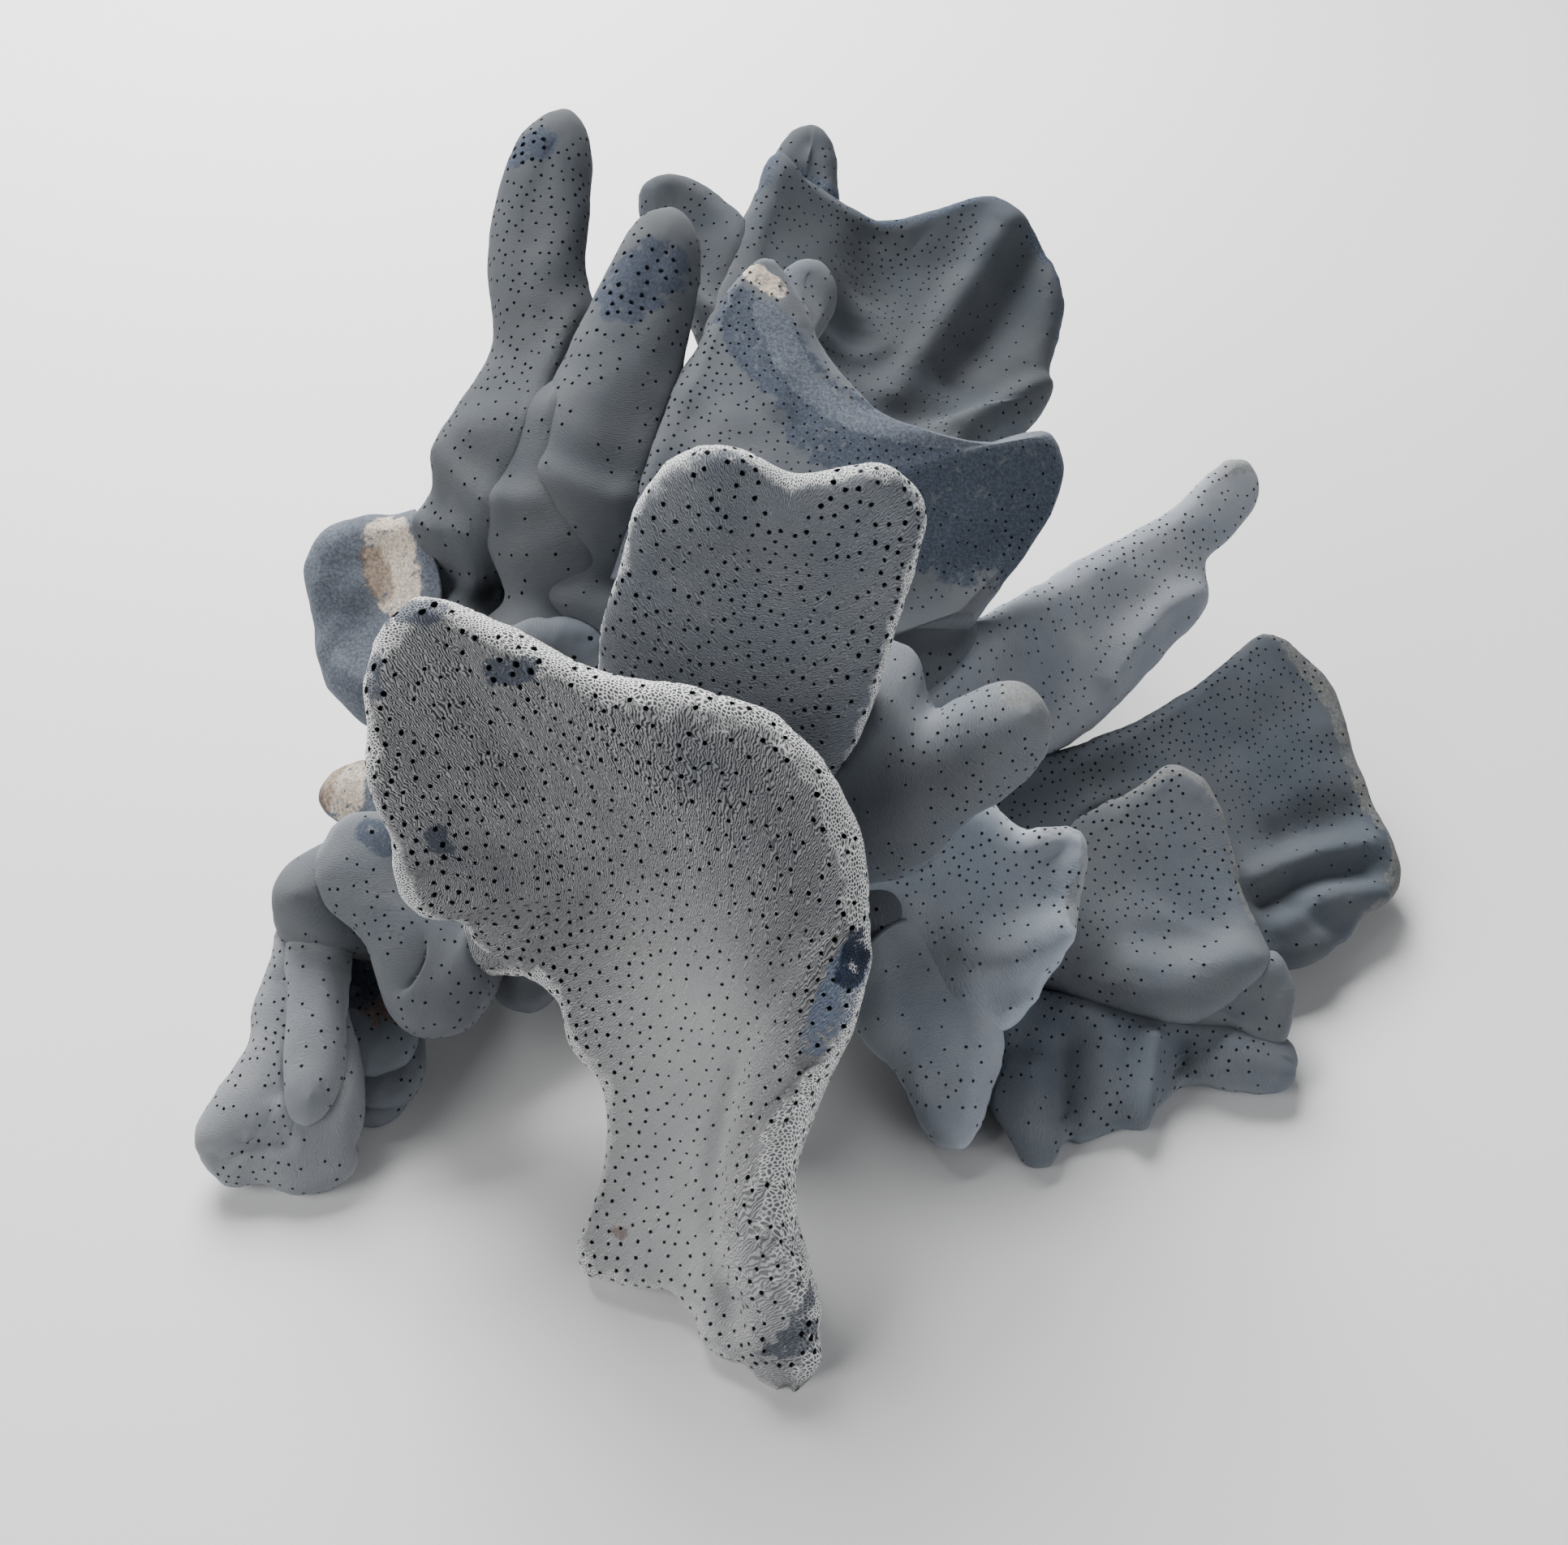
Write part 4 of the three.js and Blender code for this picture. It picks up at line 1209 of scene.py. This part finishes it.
def pore_places(skin, rng):
    """Row, column, half block height, radius and depth of every pore of one grid."""
    p = skin.points
    up = np.linalg.norm(np.gradient(p, axis=0), axis=2)
    across = np.linalg.norm(np.roll(p, -1, axis=1) - np.roll(p, 1, axis=1), axis=2) / 2
    rows, columns = skin.rim.shape
    row, column = np.meshgrid(np.arange(rows), np.arange(columns), indexing="ij")
    half = np.clip(np.round(HALF_BLOCK / np.maximum(up, 0.01)), 1, TALLEST).astype(int)
    wide = np.clip(np.round(HALF_BLOCK / np.maximum(across, 0.01)), 1, WIDEST).astype(int)
    usable = (row > TALLEST) & (row < rows - TALLEST - 1)
    usable &= (p[..., 2] > ABOVE_TABLE) & (skin.gap > FROM_CORNER)
    usable &= skin.marks["chip"] < MARK_LIMIT
    usable &= skin.marks["break"] < MARK_LIMIT
    usable &= (up * half > LEAST_HALF) & (across * wide > LEAST_HALF)
    usable &= (up < WIDEST_STEP) & (across < WIDEST_STEP)
    r, c = row[usable], column[usable]
    share = skin.pore_radius / PORE_RADIUS
    spacing = PORE_SPACING * min(1, 0.3 + 0.7 * share)
    chosen = spread_places(p[usable], spacing, rng)
    r, c = r[chosen], c[chosen]
    near = np.exp(-skin.rim[r, c] / RIM_REACH)
    uneven = rng.uniform(-RADIUS_CHANCE, RADIUS_CHANCE, len(r))
    radius = skin.pore_radius * (RADIUS_FACE + RADIUS_RIM * near + uneven)
    radius *= 1 + STAIN_GAIN * skin.marks["stain"][r, c] - PALE_LOSS * skin.marks["pale"][r, c]
    uneven = rng.uniform(-DEPTH_CHANCE, DEPTH_CHANCE, len(r))
    depth = (DEPTH_FACE + DEPTH_RIM * near + uneven) * share**2
    return SimpleNamespace(row=r, column=c, half=half[r, c], wide=wide[r, c], radius=radius, depth=depth)


# %% [markdown]
# At each place the ring of points around it is drawn into a circle and led down to a floor. This works on
# whole arrays, one for each block size. Where rows or columns crowd together, a larger block is taken so that
# the pit stays round. Pits that would share a point with another are dropped.

# %% Pits in the mesh
def ring_steps(half, wide):
    """Row and column steps round a block of half rows and wide columns to each side of its middle."""
    top = [(-half, c) for c in range(-wide, wide)]
    right = [(r, wide) for r in range(-half, half)]
    bottom = [(half, c) for c in range(wide, -wide, -1)]
    left = [(r, -wide) for r in range(half, -half, -1)]
    return np.array(top + right + bottom + left)


def block_sizes(pores):
    """Each size of block in use, with the numbers of its pores."""
    for half, wide in np.ndindex(TALLEST, WIDEST):
        mine = np.flatnonzero((pores.half == half + 1) & (pores.wide == wide + 1))
        if len(mine):
            yield half + 1, wide + 1, mine


def without_clashes(pores, shape):
    """Mask of the pores that own every grid point of their block, when later ones take points from earlier."""
    owner = np.full(shape, -1)
    fine = np.ones(len(pores.row), bool)
    for half, wide, mine in block_sizes(pores):
        for dr, dc in np.ndindex(2 * half + 1, 2 * wide + 1):
            owner[pores.row[mine] + dr - half, (pores.column[mine] + dc - wide) % shape[1]] = mine
    for half, wide, mine in block_sizes(pores):
        for dr, dc in np.ndindex(2 * half + 1, 2 * wide + 1):
            taken = owner[pores.row[mine] + dr - half, (pores.column[mine] + dc - wide) % shape[1]]
            fine[mine] &= taken == mine
    return fine


def true_normals(skin):
    """Directions square to the finished skin, from the steps up its columns and along its rows."""
    up = np.gradient(skin.points, axis=0)
    along = np.roll(skin.points, -1, axis=1) - np.roll(skin.points, 1, axis=1)
    normal = unit(np.cross(along, up))
    return np.where((normal * skin.normal).sum(2, keepdims=True) < 0, -normal, normal)


RAGGED = 0.2
SHORTEST = 0.1
FLOOR_SHARE = 0.8
FLOOR_DIP = 0.1


def pitted(skin, rng):
    """Cuts the pores into one grid. Returns its points, the quads that stay, the pit walls and floors."""
    rows, columns = skin.rim.shape
    pores = pore_places(skin, rng)
    fine = without_clashes(pores, (rows, columns))
    normal = true_normals(skin)
    points = skin.points.reshape(-1, 3).copy()
    stays = np.ones((rows - 1, columns), bool)
    extra, walls, floors, sources = [], [], [], []
    total = rows * columns
    for half, wide, mine in block_sizes(pores):
        mine = mine[fine[mine]]
        r, c = pores.row[mine], pores.column[mine]
        steps = ring_steps(half, wide)
        n = len(steps)
        middle = r * columns + c
        ring = (r[:, None] + steps[:, 0]) * columns + (c[:, None] + steps[:, 1]) % columns
        axis = normal[r, c]
        up = skin.points[r + half, c] - skin.points[r - half, c]
        up = unit(up - (up * axis).sum(1, keepdims=True) * axis)
        across = np.cross(up, axis)
        angle = math.pi - (np.arange(n) - wide) * 2 * math.pi / n
        circle = np.cos(angle)[None, :, None] * up[:, None] + np.sin(angle)[None, :, None] * across[:, None]
        radius = pores.radius[mine][:, None, None]
        depth = pores.depth[mine][:, None]
        centre = points[middle]
        ragged = 1 + rng.uniform(-RAGGED, RAGGED, (len(r), n, 1))
        from_centre = points[ring] - centre[:, None]
        lift = (from_centre * axis[:, None]).sum(2, keepdims=True)
        slope = lift / np.maximum(np.linalg.norm(from_centre, axis=2, keepdims=True), SHORTEST)
        points[ring] = centre[:, None] + ragged * radius * (circle + slope * axis[:, None])
        bottom = centre - axis * depth
        extra.append((bottom[:, None] + FLOOR_SHARE * ragged * radius * circle).reshape(-1, 3))
        sources.append(np.repeat(middle, n))
        points[middle] = bottom - FLOOR_DIP * axis
        inner = total + np.arange(len(r) * n).reshape(-1, n)
        total += len(r) * n
        next_ring, next_inner = np.roll(ring, -1, 1), np.roll(inner, -1, 1)
        walls.append(np.stack([ring, next_ring, next_inner, inner], axis=2).reshape(-1, 4))
        floors.append(np.stack([inner, next_inner, np.repeat(middle[:, None], n, 1)], axis=2).reshape(-1, 3))
        for dr, dc in np.ndindex(2 * half, 2 * wide):
            stays[r + dr - half, (c + dc - wide) % columns] = False
    skin.pores = int(fine.sum())
    if extra:
        points = np.concatenate([points, *extra])
    return SimpleNamespace(
        points=points,
        stays=stays,
        walls=np.concatenate(walls) if walls else np.empty((0, 4), int),
        floors=np.concatenate(floors) if floors else np.empty((0, 3), int),
        source=np.concatenate([np.arange(rows * columns), *sources]).astype(int),
    )


# %% [markdown]
# Now the grids become meshes. Each grid is closed with a fan of triangles at its root, and the last row of a
# blade is stitched to itself along the fold. The skin carries its own measures for the materials: the
# distance from the rim in millimetres, which faces belong to pores, and a map in millimetres over the face.

# %% Meshes
def grid_faces(skin, cut):
    """Quads of the grid that stay, the triangles that close its ends, and the map place of every corner."""
    rows, columns = skin.rim.shape
    number = np.arange(rows * columns).reshape(rows, columns)
    if skin.folds:
        number[-1] = np.minimum(number[-1], number[-1][fold_partner(columns)])
    right = np.roll(number, -1, axis=1)
    quads = np.stack([number[:-1], right[:-1], right[1:], number[1:]], axis=2)
    uv_right = np.roll(skin.uv, -1, axis=1)
    corners = np.stack([skin.uv[:-1], uv_right[:-1], uv_right[1:], skin.uv[1:]], axis=2)
    if skin.seam is not None:
        corners[:, skin.seam, 0, 1] = skin.seam_uv[:-1]
        corners[:, skin.seam, 3, 1] = skin.seam_uv[1:]
    middle = len(cut.points)
    ends = [np.stack([right[0], number[0], np.full(columns, middle)], axis=1)]
    centres = [skin.points[0].mean(0)]
    if not skin.folds:
        ends.append(np.stack([number[-1], right[-1], np.full(columns, middle + 1)], axis=1))
        centres.append(skin.points[-1].mean(0))
    return quads[cut.stays], np.concatenate(ends), np.array(centres), corners[cut.stays]


def skin_mesh(skin, rng):
    """All arrays of one closed skin: points, quads, triangles and what its faces and points carry."""
    cut = pitted(skin, rng)
    quads, ends, centres, corners = grid_faces(skin, cut)
    uv = skin.uv.reshape(-1, 2)[cut.source]
    carried = {
        key: np.append(value.reshape(-1)[cut.source], value[0, : len(centres)])
        for key, value in {"rim_mm": skin.rim, **skin.marks}.items()
    }
    uv = np.concatenate([uv, np.repeat(skin.uv[:1, 0], len(centres), 0)])
    triangles = np.concatenate([cut.floors, ends])
    used = np.zeros(len(uv), bool)
    for faces in (quads, cut.walls, triangles):
        used[faces] = True
    renumber = np.cumsum(used) - 1
    wall_uv = np.repeat(uv[cut.walls[:, 3]][:, None], 4, 1)
    in_pores = np.ones(len(cut.walls) + len(cut.floors))
    return SimpleNamespace(
        points=np.concatenate([cut.points, centres])[used],
        carried={key: value[used] for key, value in carried.items()},
        quads=renumber[np.concatenate([quads, cut.walls])],
        triangles=renumber[triangles],
        uv=np.concatenate([corners.reshape(-1, 2), wall_uv.reshape(-1, 2), uv[triangles].reshape(-1, 2)]),
        pore=np.concatenate([np.zeros(len(quads)), in_pores, np.zeros(len(ends))]),
    )


# %% [markdown]
# A material in Blender is a tree of nodes. These helpers add one node each, set its inputs and give back the
# socket to link on. With them the materials below read like formulas.

# %% Node helpers
MM = 1000.0


def add_node(tree, kind, settings=None, **inputs):
    """Adds a node, sets its options, and gives its inputs a value or a link from another socket. An input goes
    by its name, or by i and its number where names repeat."""
    node = tree.nodes.new(kind)
    for option, value in (settings or {}).items():
        setattr(node, option, value)
    for key, value in inputs.items():
        by_number = key[0] == "i" and key[1:].isdigit()
        socket = node.inputs[int(key[1:]) if by_number else key.replace("_", " ")]
        if isinstance(value, bpy.types.NodeSocket):
            tree.links.new(value, socket)
        else:
            socket.default_value = value
    return node


def maths(tree, operation, first, second=0.0):
    """One Math node on two values, as a socket."""
    return add_node(tree, "ShaderNodeMath", {"operation": operation}, i0=first, i1=second).outputs[0]


def fade(tree, value, low, high, to_low=0.0, to_high=1.0):
    """Smooth step of a value from one range to another, as a socket."""
    node = add_node(
        tree, "ShaderNodeMapRange", {"interpolation_type": "SMOOTHSTEP"},
        Value=value, From_Min=low, From_Max=high, To_Min=to_low, To_Max=to_high,
    )
    return node.outputs[0]


def mixed(tree, amount, first, second, blend="MIX"):
    """Two colours mixed by an amount, as a socket."""
    options = {"data_type": "RGBA", "blend_type": blend}
    return add_node(tree, "ShaderNodeMix", options, i0=amount, i6=first, i7=second).outputs[2]


def between(tree, amount, first, second):
    """Two numbers mixed by an amount, as a socket."""
    return add_node(tree, "ShaderNodeMix", {"data_type": "FLOAT"}, i0=amount, i2=first, i3=second).outputs[0]


def grey(tree, value):
    """A number as a grey colour, as a socket."""
    return add_node(tree, "ShaderNodeCombineColor", Red=value, Green=value, Blue=value).outputs[0]


def millimetres(tree):
    """The place on the object in millimetres, as a socket."""
    place = add_node(tree, "ShaderNodeTexCoord").outputs["Object"]
    return add_node(tree, "ShaderNodeVectorMath", {"operation": "SCALE"}, i0=place, Scale=MM).outputs[0]


def noise(tree, place, **inputs):
    """Noise in space at a place, as a socket."""
    return add_node(tree, "ShaderNodeTexNoise", {"noise_dimensions": "3D"}, Vector=place, **inputs).outputs["Fac"]


def measure(tree, name):
    """A measure that the mesh carries, as a socket."""
    return add_node(tree, "ShaderNodeAttribute", {"attribute_name": name}).outputs["Fac"]


# %% [markdown]
# Two kinds of fine relief cover the skeleton. Ridges about 0.3 mm apart run along the ribs of a blade, towards
# its rim. On the rim itself they give way to a honeycomb of tubes about 0.4 mm wide. Both are too fine for the
# mesh, so they go to a Bump node. One node group makes them for every branch, led by the map in millimetres.

# %% Relief of ridges and honeycomb
relief = bpy.data.node_groups.new("coral relief", "ShaderNodeTree")
relief.interface.new_socket("Rim", in_out="INPUT", socket_type="NodeSocketFloat")
relief.interface.new_socket("Comb Width", in_out="INPUT", socket_type="NodeSocketFloat")
for output in ("Height", "Comb", "Grain"):
    relief.interface.new_socket(output, in_out="OUTPUT", socket_type="NodeSocketFloat")
relief_in = relief.nodes.new("NodeGroupInput")
relief_out = relief.nodes.new("NodeGroupOutput")

on_face = add_node(relief, "ShaderNodeUVMap", {"uv_map": "face_mm"}).outputs[0]
place_mm = millimetres(relief)
rim_mm = relief_in.outputs["Rim"]

bands = add_node(
    relief, "ShaderNodeTexWave", {"wave_type": "BANDS", "bands_direction": "X", "wave_profile": "SIN"},
    Vector=on_face, Scale=1.1, Distortion=7.5, Detail=1.5, Detail_Scale=1.5, Detail_Roughness=0.55,
).outputs["Fac"]
ridges = fade(relief, bands, 0.1, 0.7)
grain = noise(relief, place_mm, Scale=2.6, Detail=3.0, Roughness=0.65)
walls = add_node(
    relief, "ShaderNodeTexVoronoi", {"feature": "DISTANCE_TO_EDGE", "voronoi_dimensions": "2D"},
    Vector=on_face, Scale=2.7, Randomness=0.85,
).outputs["Distance"]
comb = fade(relief, walls, 0.07, 0.28, 1.0, 0.0)
patches = noise(relief, place_mm, Scale=0.45, Detail=3.0)
ragged = maths(relief, "MULTIPLY", patches, 5.0)
edge_place = maths(relief, "SUBTRACT", maths(relief, "ADD", rim_mm, ragged), relief_in.outputs["Comb Width"])
on_rim = fade(relief, edge_place, 2.0, 3.4, 1.0, 0.0)
ridge_share = fade(relief, rim_mm, 8.0, 30.0, 0.95, 0.45)
face_height = between(relief, ridge_share, grain, ridges)
height = between(relief, on_rim, face_height, comb)
relief.links.new(height, relief_out.inputs["Height"])
relief.links.new(on_rim, relief_out.inputs["Comb"])
relief.links.new(grain, relief_out.inputs["Grain"])
print("relief group of", len(relief.nodes), "nodes")

# %% [markdown]
# The dry skeleton is grey with a touch of blue. On the front blade the tops of the ridges are bleached and
# carry a painted highlight, and the grooves between them get painted shade, so their height shades the colour
# strongly. The walls of its honeycomb are almost white, and the tubes between them are painted dark as shade.
# Each branch has its own brightness, partly because some are bleached more than others and partly as painted
# light and shade: brighter where the lamps leave a branch too dark, darker where they leave it too bright. The
# other marks are mixed in over that, broken up by noise, and the pits come last, painted near black as the
# shade inside them.

# %% Coral skin
GREY = (0.27, 0.272, 0.28, 1)
SLATE = (0.135, 0.16, 0.195, 1)
COMB_WALL = (0.95, 0.95, 0.94, 1)
COMB_HOLE_SHADE = (0.065, 0.07, 0.08, 1)
# Near black painted shade for the inside of the pits
PIT_SHADE = (0.014, 0.019, 0.028, 1)
PALE_AND_PAINTED_LIGHT = (0.62, 0.625, 0.64, 1)
# Colour of the painted shade on darkened stretches
PAINTED_SHADE = (0.05, 0.058, 0.072, 1)
MARK_COLOURS = {
    "tan": (0.2, 0.195, 0.18, 1), "worn": (0.06, 0.075, 0.105, 1), "break": (0.12, 0.135, 0.165, 1),
    "blue": (0.1, 0.15, 0.25, 1), "chip": (0.012, 0.022, 0.05, 1), "cream": (0.6, 0.52, 0.43, 1),
    "rust": (0.17, 0.105, 0.07, 1), "stain": (0.045, 0.058, 0.09, 1),
}
MARK_SHARES = {
    "tan": 0.5, "worn": 0.85, "break": 0.9, "blue": 0.6,
    "chip": 0.9, "cream": 0.9, "rust": 0.6, "stain": 0.75,
}
NO_COMB = -3

# For each branch: slate from 0 to 1, brightness, contrast of the ridges, and width of the honeycomb in mm,
# where a width below zero leaves the honeycomb out. Brightness is partly the branch's own bleaching and partly
# painted light and shade, set high where the lamps leave a branch dark, as on the right fans, and lower
# elsewhere.
LOOKS = {
    "base": (0.7, 0.65, 0.12, NO_COMB),
    "front_blade": (0.05, 0.94, 0.95, 3.4),
    "centre_blade": (0.6, 0.92, 0.55, 1.6),
    "tall_finger": (0.6, 0.48, 0.08, NO_COMB),
    "short_finger": (0.6, 0.52, 0.08, NO_COMB),
    "broken_plate": (0.65, 0.68, 0.1, NO_COMB),
    "back_fan": (0.75, 0.44, 0.08, NO_COMB),
    "right_finger": (0.7, 0.9, 0.14, NO_COMB),
    "right_frond": (0.6, 1.42, 0.1, NO_COMB),
    "right_back_fan": (0.85, 0.54, 0.08, NO_COMB),
    "right_mid_fan": (0.7, 0.75, 0.1, NO_COMB),
    "right_front_fan": (0.7, 1.95, 0.1, NO_COMB),
    "right_foot": (0.8, 0.85, 0.1, NO_COMB),
    "left_shoulder": (0.6, 0.62, 0.1, NO_COMB),
    "left_knee": (0.6, 0.7, 0.12, NO_COMB),
    "left_foot": (0.4, 1.05, 0.12, NO_COMB),
    "left_back_foot": (0.7, 0.8, 0.1, NO_COMB),
    "stump": (0.8, 0.8, 0.15, NO_COMB),
}


def coral_material(name, slate, brightness, contrast, comb_width):
    """The skin of one branch, from its slate share, brightness, ridge contrast and honeycomb width."""
    material = bpy.data.materials.new(name)
    material.use_nodes = True
    tree = material.node_tree
    shader = tree.nodes["Principled BSDF"]
    shader.inputs["Roughness"].default_value = 0.92
    shader.inputs["Specular IOR Level"].default_value = 0.2
    rim = measure(tree, "rim_mm")
    group = add_node(tree, "ShaderNodeGroup", {"node_tree": relief}, Rim=rim, Comb_Width=comb_width)
    height, comb, grain = (group.outputs[key] for key in ("Height", "Comb", "Grain"))
    place_mm = millimetres(tree)
    clouds = noise(tree, place_mm, Scale=0.1, Detail=4.0, Roughness=0.6)
    tint = fade(tree, clouds, 0.25, 0.75, slate - 0.18, slate + 0.18)
    colour = mixed(tree, tint, GREY, SLATE)
    # Painted shade in the grooves and painted highlight on the ridge tops: the colour follows the relief height
    low, high = brightness * (1 - 0.85 * contrast), brightness * (1 + 0.5 * contrast)
    shade = fade(tree, height, 0.2, 0.8, low, high)
    colour = mixed(tree, 1.0, colour, grey(tree, shade), "MULTIPLY")
    # Honeycomb: the white walls are the coral's own colour, the dark between them is painted shade in the tubes
    lattice = mixed(tree, height, COMB_HOLE_SHADE, COMB_WALL)
    colour = mixed(tree, maths(tree, "MULTIPLY", comb, 0.35 + 0.6 * contrast), colour, lattice)
    blots = noise(tree, place_mm, Scale=0.5, Detail=5.0, Roughness=0.65)
    blots = fade(tree, blots, 0.2, 0.8, 0.0, 2.0)
    speckle = grey(tree, fade(tree, grain, 0.3, 0.75, 0.6, 1.5))
    # Pale stretches: partly bleached colour, partly painted light
    pale = maths(tree, "MULTIPLY", measure(tree, "pale"), 0.7)
    colour = mixed(tree, pale, colour, PALE_AND_PAINTED_LIGHT)
    # Painted shade: stretches darkened smoothly along their lines
    colour = mixed(tree, maths(tree, "MULTIPLY", measure(tree, "painted_shade"), 0.4), colour, PAINTED_SHADE)
    lit = fade(tree, rim, 0.4, 2.6, 1.3, 1.0)
    colour = mixed(tree, 1.0, colour, grey(tree, lit), "MULTIPLY")
    for kind, plain in MARK_COLOURS.items():
        marked = mixed(tree, 1.0, plain, speckle, "MULTIPLY")
        spread = maths(tree, "MULTIPLY", measure(tree, kind), blots)
        colour = mixed(tree, fade(tree, spread, 0.25, 0.6, 0.0, MARK_SHARES[kind]), colour, marked)
    # Painted shade: pit walls and floors darkened towards near black, less where the skin is pale
    painted_pit_shade = maths(tree, "MULTIPLY", measure(tree, "pore"), 0.4 + 0.55 * contrast)
    pit_shade_kept = maths(tree, "SUBTRACT", 1.0, maths(tree, "MULTIPLY", pale, 0.6))
    painted_pit_shade = maths(tree, "MULTIPLY", painted_pit_shade, pit_shade_kept)
    colour = mixed(tree, painted_pit_shade, colour, PIT_SHADE)
    tree.links.new(colour, shader.inputs["Base Color"])
    bump = add_node(tree, "ShaderNodeBump", Strength=0.12 + 0.8 * contrast, Distance=0.00013, Height=height)
    tree.links.new(bump.outputs[0], shader.inputs["Normal"])
    return material


# %% [markdown]
# Each branch becomes one object. The grids of its blades are joined in one mesh, placed in metres, and the
# object stands for the CAD solid of the same name. Pore walls are shaded flat and the edges round their mouths
# are marked sharp, which keeps every pit crisp.

# %% Pieces
def coral_piece(name, parts, material):
    """One object from the closed skins of a branch."""
    first = np.concatenate([[0], np.cumsum([len(part.points) for part in parts])])
    quads = np.concatenate([part.quads + start for part, start in zip(parts, first)])
    triangles = np.concatenate([part.triangles + start for part, start in zip(parts, first)])
    quads_uv = [part.uv[: 4 * len(part.quads)] for part in parts]
    uv = np.concatenate(quads_uv + [part.uv[4 * len(part.quads) :] for part in parts])
    quads_pore = [part.pore[: len(part.quads)] for part in parts]
    pore = np.concatenate(quads_pore + [part.pore[len(part.quads) :] for part in parts])
    points = np.concatenate([part.points for part in parts]) / MM
    mesh = bpy.data.meshes.new("coral_" + name)
    mesh.vertices.add(len(points))
    mesh.vertices.foreach_set("co", points.astype(np.float32).ravel())
    corners = np.concatenate([quads.ravel(), triangles.ravel()])
    mesh.loops.add(len(corners))
    mesh.loops.foreach_set("vertex_index", corners.astype(np.int32))
    starts = np.concatenate([np.arange(len(quads)) * 4, 4 * len(quads) + np.arange(len(triangles)) * 3])
    mesh.polygons.add(len(starts))
    mesh.polygons.foreach_set("loop_start", starts.astype(np.int32))
    mesh.polygons.foreach_set("use_smooth", pore < 0.5)
    mesh.uv_layers.new(name="face_mm").data.foreach_set("uv", uv.astype(np.float32).ravel())
    for key in parts[0].carried:
        values = np.concatenate([part.carried[key] for part in parts]).astype(np.float32)
        if values.any():
            mesh.attributes.new(key, "FLOAT", "POINT").data.foreach_set("value", values)
    mesh.attributes.new("pore", "FLOAT", "FACE").data.foreach_set("value", pore.astype(np.float32))
    mesh.update(calc_edges=True)
    mesh.validate()
    pitted_corners = np.repeat(pore > 0.5, np.diff(np.append(starts, len(corners))))
    mouth = np.bincount(corners, pitted_corners, len(points)) > 0
    mouth &= np.bincount(corners, ~pitted_corners, len(points)) > 0
    edges = np.empty(2 * len(mesh.edges), np.int32)
    mesh.edges.foreach_get("vertices", edges)
    mesh.edges.foreach_set("use_edge_sharp", mouth[edges].reshape(-1, 2).all(axis=1))
    mesh.materials.append(material)
    piece = bpy.data.objects.new("coral_" + name, mesh)
    bpy.context.collection.objects.link(piece)
    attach(piece, "root")
    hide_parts(name)
    return piece, 2 * len(quads) + len(triangles)


PORE_SEED = 7

chance = np.random.default_rng(PORE_SEED)
for name, group in skins.items():
    parts = [skin_mesh(skin, chance) for skin in group]
    material = coral_material("coral " + name.replace("_", " "), *LOOKS[name])
    piece, triangles = coral_piece(name, parts, material)
    print(piece.name, triangles, "triangles,", sum(skin.pores for skin in group), "pores")
